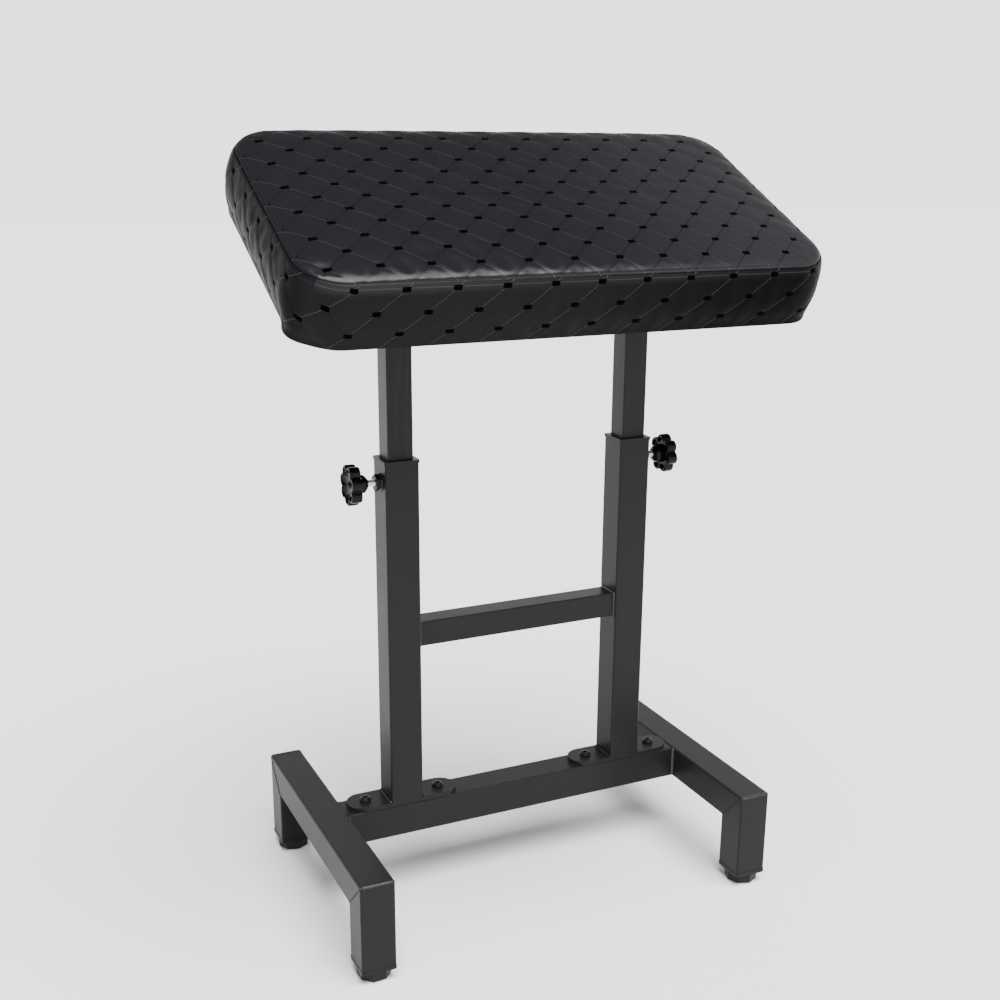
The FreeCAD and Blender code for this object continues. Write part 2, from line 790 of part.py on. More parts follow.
def tilt_fasteners():
    nut_end = post_x - s.inner_side / 2 - s.nut_height
    pivot = headed_bolt("pivot_bolt", s.bolt_head_height,
                        bracket_outside + s.fit_gap - nut_end + s.slip_washer_thickness,
                        head_across=s.nut_across)
    group("pivot_bolts", pivot, both_sides(bracket_outside + s.fit_gap, s.pivot_height))
    lock_nut = hex_nut("pivot_nut", s.nut_height, s.nut_across)
    group("pivot_nuts", lock_nut, both_sides(nut_end, s.pivot_height))
    reach = s.inner_side + s.slip_washer_thickness + s.bracket_thickness + s.steel_washer_thickness
    coach = headed_bolt("tilt_clamp_bolt", s.coach_head_height, reach + 3 * s.fit_gap + s.tilt_knob_grip,
                        head_diameter=s.coach_head)
    group("tilt_clamp_bolts", coach, both_sides(post_x - s.inner_side / 2, clamp_bolt_height, False))
    slip = washer("slip_washer_piece", s.slip_washer, s.slip_washer_thickness)
    group("slip_washers", slip, both_sides(inner_face, s.pivot_height)
          + both_sides(inner_face, clamp_bolt_height))


# Pad pieces are drawn level with the pivot axis at their origin, then tilted about it.
hem_level = s.pivot_drop
board_level = hem_level + s.cover_thickness + s.soft_gap
cloth_level = board_level - s.soft_gap - s.cloth_thickness
flange_level = cloth_level - s.soft_gap
foam_level = board_level + s.board_thickness + s.soft_gap
board_length = s.pad_length - 2 * s.board_inset
board_depth = s.pad_depth - 2 * s.board_inset
board_corner = s.pad_corner - s.board_inset
pad_middle = s.pivot_forward


def tilted(item):
    place(item, 0, 0, s.pivot_height, (1, 0, 0), SIZES["pad_tilt"])
    item.setExpression(".Placement.Rotation.Angle", s.pad_tilt.text)
    return item


def tilt_bracket(side, sign):
    body = new_body(f"{side}_tilt_bracket")
    slot_half = s.thread / 2 + s.slot_play / 2
    reach = s.slot_radius + slot_half + s.bracket_edge
    heel = slot_half + s.bracket_edge
    cheek = new_sketch(body, "YZ_Plane", bracket_inside * sign)
    corners = [(-s.bracket_front, flange_level), (s.bracket_rear, flange_level),
               (s.bracket_rear, flange_level - s.bracket_cheek)]
    heel_drop = -math.sqrt(reach.value ** 2 - heel.value ** 2)
    toe_across = -math.sqrt(reach.value ** 2 - s.bracket_edge.value ** 2)
    points = [vector(*corner) for corner in corners] + [vector(heel, heel_drop)]
    for start, end in zip(points, points[1:]):
        cheek.addGeometry(Part.LineSegment(start, end))
    whole = Part.Circle(FreeCAD.Vector(), FreeCAD.Vector(0, 0, 1), reach.value)
    toe = vector(toe_across, -s.bracket_edge)
    toe_angle = math.atan2(toe.y, toe.x) + 2 * math.pi
    heel_angle = math.atan2(heel_drop, heel.value) + 2 * math.pi
    cheek.addGeometry(Part.ArcOfCircle(whole, toe_angle, heel_angle))
    cheek.addGeometry(Part.LineSegment(toe, points[0]))
    for index in range(2):
        join(cheek, "Coincident", index, 2, index + 1, 1)
    join(cheek, "Coincident", 2, 2, 3, 2)
    join(cheek, "Coincident", 3, 1, 4, 1)
    join(cheek, "Coincident", 4, 2, 0, 1)
    join(cheek, "Coincident", 3, 3, -1, 1)
    for index, (across, up) in enumerate(corners):
        dimension(cheek, "DistanceX", index, across, 1)
        dimension(cheek, "DistanceY", index, up, 1)
    dimension(cheek, "Radius", 3, reach)
    dimension(cheek, "DistanceX", 2, heel, 2)
    dimension(cheek, "DistanceY", 4, -s.bracket_edge, 1)
    pad(cheek, s.bracket_thickness, reverse=sign < 0)
    flange = new_sketch(body, "XY_Plane", flange_level)
    ends = sorted((bracket_outside * sign, (bracket_outside - s.flange_width) * sign),
                  key=lambda size: size.value)
    rectangle(flange, *ends, -s.bracket_front, s.bracket_rear)
    pad(flange, s.bracket_thickness, reverse=True)
    holes = new_sketch(body, "XY_Plane", flange_level)
    for x, y in screw_places(sign):
        circle(holes, s.screw_hole, x, y)
    pocket(holes, s.bracket_thickness + s.overrun)

    def outer_bend(edge):
        box = edge.BoundBox
        near = abs(box.Center.x * sign - bracket_outside.value) < s.fit_gap.value
        return near and level(edge, flange_level) and box.XLength < s.fit_gap.value

    dress("Fillet", body, s.bracket_bend + s.bracket_thickness, outer_bend)
    arc_slot(body, s.slot_radius, slot_half, s.tilt_travel)
    bore = new_sketch(body, "YZ_Plane")
    circle(bore, running_hole)
    pocket(bore)
    keep(tilted(body))


def arc_slot(body, radius, half, travel):
    # From straight under the pivot round to the front, so that the pad can lie level or stand steep.
    slot = new_sketch(body, "YZ_Plane")
    end = (radius * sine(-travel), -(radius * cosine(travel)))
    lead, stop = 270 - travel.value, 270
    arc(slot, 0, 0, radius + half, lead, stop)
    arc(slot, 0, -radius, half, -90, 90)
    arc(slot, 0, 0, radius - half, lead, stop)
    arc(slot, *end, half, 90 - travel.value, 270 - travel.value)
    join(slot, "Tangent", 0, 2, 1, 1)
    join(slot, "Tangent", 1, 2, 2, 2)
    join(slot, "Tangent", 2, 1, 3, 1)
    join(slot, "Tangent", 3, 2, 0, 1)
    join(slot, "Coincident", 0, 3, -1, 1)
    join(slot, "Coincident", 2, 3, -1, 1)
    dimension(slot, "DistanceX", 1, 0, 3)
    dimension(slot, "DistanceY", 1, -radius, 3)
    dimension(slot, "Radius", 1, half)
    dimension(slot, "DistanceX", 3, end[0], 3)
    pocket(slot)


def screw_places(sign):
    flange_middle = bracket_outside - s.flange_width / 2
    return [((flange_middle + s.screw_columns / 2 * column) * sign, s.screw_span / 2 * row)
            for column in (-1, 1) for row in (-1, 1)]


def pad_fasteners():
    screw = new_body("bracket_screw")
    profile = new_sketch(screw, "XZ_Plane")
    head, shank = s.screw_head / 2, s.screw_thread / 2
    tip = s.bracket_thickness + board_level - flange_level + s.board_thickness - s.screw_tip
    polygon(profile, [(0, -s.screw_head_height), (head * SCREW_TOP_SHARE, -s.screw_head_height),
                      (head, -s.screw_head_height * SCREW_RIM_SHARE), (head, 0), (shank, 0), (shank, tip),
                      (0, tip)])
    revolve(profile)
    tee = new_body("tee_nut")
    section = new_sketch(tee, "XZ_Plane")
    bore, barrel, rim = shank + s.thread_gap, s.tee_barrel / 2, s.tee_flange / 2
    polygon(section, [(bore, 0), (rim, 0), (rim, -s.tee_flange_thickness), (barrel, -s.tee_flange_thickness),
                      (barrel, -s.tee_barrel_length), (bore, -s.tee_barrel_length)])
    revolve(section)
    spots = screw_places(-1) + screw_places(1)
    under = flange_level - s.bracket_thickness
    top = board_level + s.board_thickness
    tilted(group("bracket_screws", screw, [(x, y, under, (0, 0, 1), 0) for x, y in spots]))
    tilted(group("tee_nuts", tee, [(x, y, top, (0, 0, 1), 0) for x, y in spots]))


def sheet_piece(label, length, depth, corner, low, thickness, hole):
    body = new_body(label)
    outline = new_sketch(body, "XY_Plane", low)
    rounded_plate(outline, length, depth, corner, pad_middle)
    for x, y in screw_places(-1) + screw_places(1):
        circle(outline, hole, x, y)
    pad(outline, thickness)
    return keep(tilted(body))


def pad_board():
    hole = s.tee_barrel + 2 * s.thread_gap
    body = sheet_piece("pad_board", board_length, board_depth, board_corner, board_level,
                       s.board_thickness, hole)
    seats = new_sketch(body, "XY_Plane", board_level + s.board_thickness)
    for x, y in screw_places(-1) + screw_places(1):
        circle(seats, s.tee_flange + 2 * s.fit_gap, x, y)
    pocket(seats, s.tee_flange_thickness)


# Foam and quilted cover, whose skins follow one lattice of half diamonds

def rim_point(i, j, outset):
    # A lattice place on the pad's plan. The square corners are drawn in to round ones.
    half = [s.pad_length.value / 2 + outset, s.pad_depth.value / 2 + outset]
    corner = s.pad_corner.value + outset
    place_share = [2 * i / STEPS_ALONG - 1, 2 * j / STEPS_ACROSS - 1]
    flat = [edge - corner for edge in half]
    past = [max(0.0, abs(share) * edge - straight) / corner
            for share, edge, straight in zip(place_share, half, flat)]
    drawn = [past[0] * math.sqrt(1 - past[1] ** 2 / 2), past[1] * math.sqrt(1 - past[0] ** 2 / 2)]
    spot = [share * edge if over == 0 else math.copysign(straight + corner * pulled, share)
            for share, edge, straight, over, pulled in zip(place_share, half, flat, past, drawn)]
    return spot[0], spot[1] + pad_middle.value


def crown(i, j):
    along, across = abs(2 * i / STEPS_ALONG - 1), abs(2 * j / STEPS_ACROSS - 1)
    swell = (1 - along ** CROWN_POWER_ALONG) * (1 - across ** CROWN_POWER_ACROSS)
    return s.pad_crown.value * math.sqrt(max(0.0, swell))


def puff(i, j):
    # Full at the middle of a diamond, less halfway to a stitched crossing and nothing on the stitches.
    if i % 1 or j % 1:
        return s.pad_puff.value * HALF_PUFF_SHARE
    return s.pad_puff.value if (i + j) % 2 else 0.0


class Skin:
    # Corner points and triangles of one closed skin.
    def __init__(self):
        self.points = []
        self.numbers = {}
        self.triangles = []

    def number(self, point):
        key = tuple(round(value, 6) for value in point)
        if key not in self.numbers:
            self.numbers[key] = len(self.points)
            self.points.append(FreeCAD.Vector(*key))
        return self.numbers[key]

    def triangle(self, *corners):
        numbers = [self.number(corner) for corner in corners]
        if len(set(numbers)) == 3:
            self.triangles.append(tuple(numbers))

    def four(self, a, b, c, d):
        self.triangle(a, b, c)
        self.triangle(a, c, d)

    def quilted_cell(self, at, i, j):
        # A lattice cell holds one stitch line between its two even corners, with a puff on each side.
        corners = [(i, j), (i + 1, j), (i + 1, j + 1), (i, j + 1)]
        start = 0 if (i + j) % 2 else 1
        for odd in (start, start + 2):
            high, low_a, low_b = corners[odd % 4], corners[(odd + 1) % 4], corners[(odd - 1) % 4]
            mid_a = tuple((a + b) / 2 for a, b in zip(high, low_a))
            mid_b = tuple((a + b) / 2 for a, b in zip(high, low_b))
            self.triangle(at(*high), at(*mid_a), at(*mid_b))
            self.four(at(*mid_a), at(*low_a), at(*low_b), at(*mid_b))

    def solid(self):
        shell = Part.Shape()
        shell.makeShapeFromMesh((self.points, self.triangles), s.thread_gap.value / 10)
        made = Part.makeSolid(Part.makeShell(shell.Faces))
        if made.Volume < 0:
            made.reverse()
        return made


def border(step):
    # Lattice places once round the pad's edge, starting at the front left.
    along = [count * step for count in range(int(STEPS_ALONG / step))]
    across = [count * step for count in range(int(STEPS_ACROSS / step))]
    return ([(i, 0) for i in along] + [(STEPS_ALONG, j) for j in across]
            + [(STEPS_ALONG - i, STEPS_ACROSS) for i in along] + [(0, STEPS_ACROSS - j) for j in across])


def band(skin, low, high):
    # Joins two rings of points that run anticlockwise, so that the band faces outwards.
    count = len(low)
    for index in range(count):
        after = (index + 1) % count
        skin.four(low[index], low[after], high[after], high[index])


def box_outset(drop):
    # Drawn-in boxing: fullest a third of the way down, tucked under at the bottom edge.
    share = drop / s.pad_height.value
    swell = s.pad_bulge.value * math.sin(math.pi * min(1.0, share * BULGE_RATE_SHARE))
    return swell - s.pad_tuck.value * share ** TUCK_POWER


def cover_outside(skin):
    seam = (s.pivot_drop + s.pad_height).value

    def top(i, j):
        rim = i in (0, STEPS_ALONG) or j in (0, STEPS_ACROSS)
        x, y = rim_point(i, j, 0)
        return x, y, seam + crown(i, j) + (0 if rim else puff(i, j))

    for i in range(STEPS_ALONG):
        for j in range(STEPS_ACROSS):
            skin.quilted_cell(top, i, j)
    places = border(0.5)
    steps = len(places) // 2
    marks = [s.mark_row_top + s.mark_row_step * row for row in range(STEPS_UP - 1)]
    drops = [s.pad_height.value] + [mark.value for mark in reversed(marks)] + [0.0]

    def side(k, row):
        i, j = places[int(2 * k) % len(places)]
        drop = (drops[math.floor(row)] + drops[math.ceil(row)]) / 2
        quilt = 0 if row in (0, STEPS_UP) else puff(k, row)
        x, y = rim_point(i, j, box_outset(drop) + quilt)
        return x, y, seam - drop

    def ring(row):
        return [side(k / 2, row) for k in range(2 * steps)]

    for k in range(steps):
        for row in range(1, STEPS_UP - 1):
            skin.quilted_cell(side, k, row)
    band(skin, ring(0), ring(1))
    band(skin, ring(STEPS_UP - 1), ring(STEPS_UP))
    return ring(0)


def ring_at(step, outset, height):
    return [(*rim_point(i, j, outset), height) for i, j in border(step)]


def domed(skin, step, outset, low, high, facing):
    # A plain cushion core: flat below, straight sides and a crown, facing out or in.
    def top(i, j):
        return (*rim_point(i, j, outset), high + crown(i, j))

    cells = [(i, j) for i in range(0, STEPS_ALONG, step) for j in range(0, STEPS_ACROSS, step)]
    for i, j in cells:
        corners = [top(i, j), top(i + step, j), top(i + step, j + step), top(i, j + step)]
        skin.four(*corners[::facing])
    low_ring, high_ring = ring_at(step, outset, low), ring_at(step, outset, high)
    band(skin, *((low_ring, high_ring) if facing > 0 else (high_ring, low_ring)))
    return low_ring


def soft_piece(label, skin):
    made = doc.addObject("Part::Feature", label)
    made.Label = label
    made.Shape = skin.solid()
    keep(tilted(made))


def pad_cover():
    skin = Skin()
    outer_low = cover_outside(skin)
    wall = (s.cover_thickness + s.cover_wadding).value
    hem_top = (hem_level + s.cover_thickness).value
    inside = -(s.pad_tuck.value + s.cover_thickness.value)
    cavity_low = domed(skin, 1, inside, hem_top, (s.pivot_drop + s.pad_height).value - wall, -1)
    opening = -(s.pad_tuck + s.hem_width).value
    hem_inner_top, hem_inner_low = ring_at(1, opening, hem_top), ring_at(1, opening, hem_level.value)
    band(skin, cavity_low, hem_inner_top)
    band(skin, hem_inner_top, hem_inner_low)
    count = len(hem_inner_low)
    for index in range(count):
        after = (index + 1) % count
        first, middle, last = (outer_low[(2 * index + extra) % (2 * count)] for extra in (0, 1, 2))
        skin.triangle(hem_inner_low[index], middle, first)
        skin.triangle(hem_inner_low[index], hem_inner_low[after], middle)
        skin.triangle(hem_inner_low[after], last, middle)
    soft_piece("pad_cover", skin)


def pad_foam():
    skin = Skin()
    wall = (s.cover_thickness + s.cover_wadding + 3 * s.soft_gap).value
    outset = -(s.pad_tuck + s.cover_thickness + s.soft_gap).value
    low_ring = domed(skin, 2, outset, foam_level.value, (s.pivot_drop + s.pad_height).value - wall, 1)
    middle = (0.0, pad_middle.value, foam_level.value)
    for index, spot in enumerate(low_ring):
        skin.triangle(middle, low_ring[(index + 1) % len(low_ring)], spot)
    soft_piece("pad_foam", skin)


def build():
    crossbeam()
    plug_nut = hex_nut("plug_nut", s.nut_height, s.nut_across)
    plug_nut_height = s.foot_height + s.plug_lip + s.plug_depth - s.plug_wall - s.nut_height
    corners = [(end, way, side, sign) for side, sign in SIDES.items() for end, way in ENDS.items()]
    for side, sign in SIDES.items():
        foot_rail(side, sign)
    for corner in corners:
        leg(*corner)
        leg_plug(*corner)
        foot(*corner)
    group("leg_plug_nuts", plug_nut, [(rail_x * sign, leg_y * way, plug_nut_height, (0, 0, 1), 0)
                                      for end, way, side, sign in corners])
    group("base_bolts", base_bolt(), [(x, 0, post_bottom, (0, 0, 1), 0) for x in bolt_places()])
    group("rivet_nuts", rivet_nut(), [(x, 0, s.rail_top, (0, 0, 1), 0) for x in bolt_places()])
    brace = tube("post_brace", "YZ_Plane", s.brace_side, s.tube_wall, s.brace_corner,
                 s.post_spacing - s.tube_side, True)
    place(brace, z=s.brace_height)
    weld_nut = hex_nut("clamp_nut", s.nut_height, s.clamp_nut_across)
    group("clamp_nuts", weld_nut, both_sides(post_face, clamp_height))
    for side, sign in SIDES.items():
        post_plate(side, sign)
        outer_post(side)
        guide_sleeve(side)
        inner_post(side)
        post_glide(side)
        post_cap(side)
        height_clamp(side, sign)
        tilt_clamp(side, sign)
        tilt_bracket(side, sign)
    tilt_fasteners()
    pad_fasteners()
    pad_board()
    sheet_piece("pad_underside_cloth", s.pad_length - 2 * (s.pad_tuck + s.hem_width + s.soft_gap),
                s.pad_depth - 2 * (s.pad_tuck + s.hem_width + s.soft_gap),
                board_corner, cloth_level, s.cloth_thickness, s.screw_hole)
    pad_foam()
    pad_cover()


def write_parts():
    doc.recompute()
    for item in doc.Objects:
        if "Invalid" in item.State or "Error" in item.State:
            raise RuntimeError(f"{item.Name} ({item.Label}) failed: {item.State}")
    os.makedirs("parts", exist_ok=True)
    for item in nodes:
        shape = item.Shape
        if shape.isNull() or not shape.isValid():
            raise RuntimeError(f"{item.Label} has no valid shape")
        shape.exportStep(f"parts/{item.Label}.step")
    print(len(nodes), "nodes written")


build()
write_parts()
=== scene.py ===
import json
import math
import bmesh
import bpy
import numpy as np
from mathutils import Matrix, Vector


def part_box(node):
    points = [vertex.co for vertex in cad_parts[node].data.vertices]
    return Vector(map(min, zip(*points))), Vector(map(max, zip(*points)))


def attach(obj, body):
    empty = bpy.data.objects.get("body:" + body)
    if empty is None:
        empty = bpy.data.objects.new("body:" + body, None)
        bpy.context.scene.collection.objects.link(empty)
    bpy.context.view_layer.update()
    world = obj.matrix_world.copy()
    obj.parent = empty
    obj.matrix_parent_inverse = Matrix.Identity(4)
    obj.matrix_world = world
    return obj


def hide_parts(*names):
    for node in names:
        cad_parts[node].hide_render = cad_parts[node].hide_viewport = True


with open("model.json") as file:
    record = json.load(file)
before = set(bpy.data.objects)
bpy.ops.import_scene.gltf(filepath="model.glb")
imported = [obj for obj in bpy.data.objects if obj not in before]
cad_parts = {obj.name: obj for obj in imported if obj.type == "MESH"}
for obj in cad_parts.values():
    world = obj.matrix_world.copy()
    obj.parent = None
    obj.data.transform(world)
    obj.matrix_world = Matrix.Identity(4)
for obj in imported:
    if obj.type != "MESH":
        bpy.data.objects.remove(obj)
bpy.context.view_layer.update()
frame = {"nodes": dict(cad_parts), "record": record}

# Tattoo arm rest stand: a quilted pad that tilts on two telescoping posts over an H-shaped base.
# X runs along the crossbeam, Y to the rear and Z up, in metres; the floor is at zero.
# Sizes in the dictionaries are millimetres and degrees, unless a note says otherwise.

nodes = frame["nodes"]
mm = 0.001
print("stage: frame loaded,", len(nodes), "nodes")


# Shader maths: one wrapped socket, so that masks and bumps are written as plain expressions

class Value:
    def __init__(self, shader, socket):
        self.shader, self.socket = shader, socket

    def __add__(self, other):
        return self.shader.maths("ADD", self, other)

    def __radd__(self, other):
        return self.shader.maths("ADD", other, self)

    def __sub__(self, other):
        return self.shader.maths("SUBTRACT", self, other)

    def __rsub__(self, other):
        return self.shader.maths("SUBTRACT", other, self)

    def __mul__(self, other):
        return self.shader.maths("MULTIPLY", self, other)

    def __rmul__(self, other):
        return self.shader.maths("MULTIPLY", other, self)

    def __truediv__(self, other):
        return self.shader.maths("DIVIDE", self, other)

    def __rtruediv__(self, other):
        return self.shader.maths("DIVIDE", other, self)

    def __abs__(self):
        return self.shader.maths("ABSOLUTE", self)

    def least(self, other):
        return self.shader.maths("MINIMUM", self, other)

    def most(self, other):
        return self.shader.maths("MAXIMUM", self, other)

    def offCentre(self):  # distance to the nearest whole number, 0 to a half
        return abs(self - self.shader.maths("ROUND", self))

    def fade(self, start, end, low=1.0, high=0.0):  # smooth change from low to high between two values
        return self.shader.node("ShaderNodeMapRange", {"interpolation_type": "SMOOTHSTEP"},
                                {"Value": self, "From Min": start, "From Max": end,
                                 "To Min": low, "To Max": high})


class Shader:
    def __init__(self, name, owner=None):
        self.owner = owner or bpy.data.materials.new(name)
        self.owner.use_nodes = True
        self.tree = self.owner.node_tree
        self.surface = self.tree.nodes["Background" if owner else "Principled BSDF"]

    def node(self, kind, settings=None, inputs=None, output=0):  # settings first, then sockets
        made = self.tree.nodes.new(kind)
        for key, value in (settings or {}).items():
            setattr(made, key, value)
        for key, value in (inputs or {}).items():
            self.feed(made.inputs[key], value)
        return Value(self, made.outputs[output])

    def feed(self, socket, value):
        if isinstance(value, Value):
            self.tree.links.new(value.socket, socket)
        elif isinstance(value, tuple) and len(value) == 3 and socket.type == "RGBA":
            socket.default_value = (*value, 1)
        else:
            socket.default_value = value

    def maths(self, operation, *terms):
        return self.node("ShaderNodeMath", {"operation": operation}, dict(enumerate(terms)))

    def axes(self, vector):  # the three numbers of a vector
        return [self.node("ShaderNodeSeparateXYZ", {}, {"Vector": vector}, part) for part in range(3)]

    def place(self):
        return self.node("ShaderNodeTexCoord", output=3)

    def chart(self, name):
        return self.axes(self.node("ShaderNodeUVMap", {"uv_map": name}))[:2]

    def stretched(self, stretch):
        return self.node("ShaderNodeMapping", {}, {"Vector": self.place(), "Scale": stretch})

    def noise(self, scale, detail=2.0, rough=0.5, stretch=None, vector=None):
        spot = self.stretched(stretch) if stretch else vector or self.place()
        return self.node("ShaderNodeTexNoise", {}, {"Vector": spot, "Scale": scale, "Detail": detail,
                                                    "Roughness": rough})

    def cells(self, scale, feature="F1"):
        return self.node("ShaderNodeTexVoronoi", {"feature": feature},
                         {"Vector": self.place(), "Scale": scale})

    def mix(self, factor, first, second):
        return self.node("ShaderNodeMix", {"data_type": "RGBA"}, {0: factor, 6: first, 7: second}, 2)

    def bump(self, height, distance):
        raised = self.node("ShaderNodeBump", {}, {"Height": height, "Distance": distance})
        self.feed(self.surface.inputs["Normal"], raised)

    def finish(self, **sockets):
        for key, value in sockets.items():
            self.feed(self.surface.inputs[key.replace("_", " ")], value)
        return self.owner


coat = {"colour": (0.0088, 0.0082, 0.0096), "light": (0.0126, 0.0118, 0.0134), "chip": (0.04, 0.04, 0.042),
        "roughness": 0.38, "cloudRough": 0.16, "gloss": 0.11, "peel": 0.00006, "peelScale": 1500.0,
        "cloudScale": 9.0, "speckScale": 3200.0, "scuffScale": 60.0, "streakScale": 900.0,
        "streakLong": 0.012}


def powderCoat(name, scratched=0.0):
    # Satin powder coat: fine orange peel, a faint cloudy tone, small specks, and rubbed streaks where
    # a tube slides in another.
    made = Shader(name)
    cloud = made.noise(coat["cloudScale"], 3.0)
    peel = made.noise(coat["peelScale"], 2.0, 0.55)
    speck = made.noise(coat["speckScale"], 1.0).fade(0.64, 0.74, 0.0, 1.0)
    scuff = made.noise(coat["scuffScale"], 4.0, 0.7, stretch=(1.0, 1.0, 0.25)).fade(0.60, 0.76, 0.0, 1.0)
    made.bump(peel + speck * 0.2, coat["peel"])
    tone = made.mix(cloud, coat["colour"], coat["light"])
    tone = made.mix(speck * 0.2, tone, coat["chip"])
    rough = coat["roughness"] + (cloud - 0.5) * coat["cloudRough"] + scuff * 0.07
    if scratched:
        streak = made.noise(coat["streakScale"], stretch=(1.0, 1.0, coat["streakLong"]))
        streak = streak.fade(0.58, 0.72, 0.0, 1.0)
        tone = made.mix(streak * scratched, tone, coat["chip"])
        rough = rough - streak * 0.1
    return made.finish(Base_Color=tone, Roughness=rough, Specular_IOR_Level=coat["gloss"])


# Mottled finishes: dark and light colour, grain scale, bump in metres, roughness, its spread, and gloss.
# The coat lies thicker and glossier over a weld, and thins to a hairline where a mitre was ground flush.
mottles = {"coatedWeld": (coat["colour"], coat["light"], 700.0, 0.00010, 0.20, 0.12, 0.4),
           "coatedFillet": (coat["colour"], coat["light"], 700.0, 0.00010, 0.20, 0.12, 0.08),
           "mitreSeamCoat": ((0.002, 0.002, 0.0022), (0.006, 0.006, 0.0065), 900.0, 0.00006, 0.5, 0.1, 0.12),
           "blackSteel": ((0.005, 0.005, 0.0055), (0.011, 0.011, 0.0118), 900.0, 0.00003, 0.16, 0.12, 0.07)}


def mottled(name):
    # One fine noise mixes two colours, bumps the surface and adds its share of the spread to the roughness.
    dark, light, scale, depth, roughness, spread, gloss = mottles[name]
    made = Shader(name)
    grain = made.noise(scale)
    made.bump(grain, depth)
    return made.finish(Base_Color=made.mix(grain, dark, light), Roughness=roughness + grain * spread,
                       Specular_IOR_Level=gloss)


def brightZinc(name, colour, roughness):
    # Zinc plate: fine turned texture and slightly dull patches.
    made = Shader(name)
    turned = made.noise(420.0, 3.0, 0.6)
    stain = made.noise(110.0).fade(0.45, 0.75, 0.0, 1.0)
    made.bump(turned, 0.00004)
    dull = tuple(0.72 * part for part in colour)
    return made.finish(Base_Color=made.mix(stain * 0.5, colour, dull), Metallic=1.0,
                       Roughness=roughness + turned * 0.14)


def mouldedPlastic(name, colour, roughness, texture, gloss):
    # Moulded plastic: a fine spark-eroded grain and slight flow marks.
    made = Shader(name)
    grain = made.noise(texture, 2.0, 0.6)
    flow = made.noise(35.0, stretch=(1.0, 1.0, 0.3))
    made.bump(grain, 0.00003)
    light = tuple(1.5 * part for part in colour)
    return made.finish(Base_Color=made.mix(flow, colour, light), Roughness=roughness + (flow - 0.5) * 0.12,
                       Specular_IOR_Level=gloss)


def plywood():
    # Birch plywood: long grain with pores, stretched along the board.
    made = Shader("plywood")
    spot = made.stretched((3.0, 34.0, 34.0))
    grain = made.noise(9.0, 5.0, 0.6, vector=spot)
    pore = made.noise(60.0, vector=spot).fade(0.55, 0.7, 0.0, 1.0)
    made.bump(grain - pore * 0.5, 0.0002)
    return made.finish(Base_Color=made.mix(grain, (0.33, 0.20, 0.10), (0.62, 0.45, 0.27)),
                       Roughness=0.7 + pore * 0.1)


def foamCells():
    # Open-cell foam: small round pores.
    made = Shader("foamCells")
    pore = made.cells(600.0).fade(0.1, 0.6, 0.0, 1.0)
    made.bump(pore, 0.0004)
    return made.finish(Base_Color=made.mix(pore, (0.10, 0.10, 0.09), (0.30, 0.29, 0.26)), Roughness=0.9)


def wovenCloth():
    # Thin woven underside cloth: crossing threads, counted by the UV map in metres.
    made = Shader("wovenCloth")
    warp, weft = [(way * 1250.0).offCentre() * 2.0 for way in made.chart("UVMap")]
    fuzz = made.noise(500.0)
    made.bump(warp * 0.5 + weft * 0.5 + fuzz * 0.4, 0.0002)
    return made.finish(Base_Color=made.mix(warp * weft, (0.004, 0.004, 0.0045), (0.016, 0.016, 0.017)),
                       Roughness=0.85 + fuzz * 0.1, Specular_IOR_Level=0.04, Sheen_Weight=0.02)


# The quilting's lattice counts half diamonds: on the top along x and across from the seam, and on the
# boxing along the rim and down from the seam. Stitched lines cross where both counts add up to even.
quilt = {"topStart": -15.5, "topStep": 25.8, "rowStart": 22.8, "rowStep": 24.75,
         "sideStart": 8.5, "sideStep": 26.2, "dropStart": 5.5, "dropStep": 24.55,
         "leftDrop": -12.6, "leftStep": 25.25, "leftCount": -13, "leftMark": 7.0,
         "cornerCount": -11, "cornerMark": 23.3, "around": 66, "cells": 5, "firstCount": -11.6}
stitching = {"stitch": 3.4, "thread": 0.5, "barLong": 4.7, "barShort": 2.9, "barEdge": 0.5, "satin": 0.6,
             "seamRow": 4.2, "seamStitch": 3.6}
# Of the leather colours, crease is painted shade for the stitched grooves and the seam, and thread is partly
# the thread's own tone and partly a painted highlight. The two after bar are painted light toward the right: a
# painted sheen on the top and painted shade on the boxing.
leather = {"dark": (0.0056, 0.0053, 0.0066), "light": (0.0080, 0.0076, 0.0092),
           "crease": (0.0012, 0.0012, 0.0014), "thread": (0.060, 0.059, 0.063),
           "bar": (0.0007, 0.0007, 0.0008), "paintedSheen": (0.0180, 0.0176, 0.0196),
           "paintedShade": (0.0032, 0.0030, 0.0037), "roughness": 0.30, "gloss": 0.010, "bump": 0.0006,
           "grainScale": 850.0, "creaseScale": 55.0, "sheen": 0.08, "polish": 0.28, "polishWide": 13.0,
           "polishRough": 0.22, "ends": (0.278, 0.293), "right": (-0.05, 0.28)}
# Places along the front seam in metres where the polish comes, grows, weakens and goes
polished = {"comes": (-0.04, 0.01), "grows": (0.10, 0.35), "weakens": (0.35, 0.62), "goes": (0.60, 0.66),
            "below": (0.08, 0.25), "sheenComes": (-0.304, -0.290), "sheenGoes": (-0.15, 0.2)}


def quiltSpan():
    # Millimetres between parallel stitched lines: twice the product of both steps over their hypotenuse.
    longStep, shortStep = quilt["topStep"], quilt["rowStep"]
    return 2 * longStep * shortStep / math.hypot(longStep, shortStep)


def barMask(u, v):
    # Embroidered bars: a box round each whole place of the lattice where both counts are even or both odd.
    masks = []
    for shift in (0.0, 1.0):
        across = ((u - shift) / 2.0).offCentre() * 2.0 * quilt["topStep"]
        rise = ((v - shift) / 2.0).offCentre() * 2.0 * quilt["rowStep"]
        masks.append(across.fade(stitching["barLong"] - stitching["barEdge"], stitching["barLong"])
                     * rise.fade(stitching["barShort"] - stitching["barEdge"], stitching["barShort"]))
    return masks[0].most(masks[1])


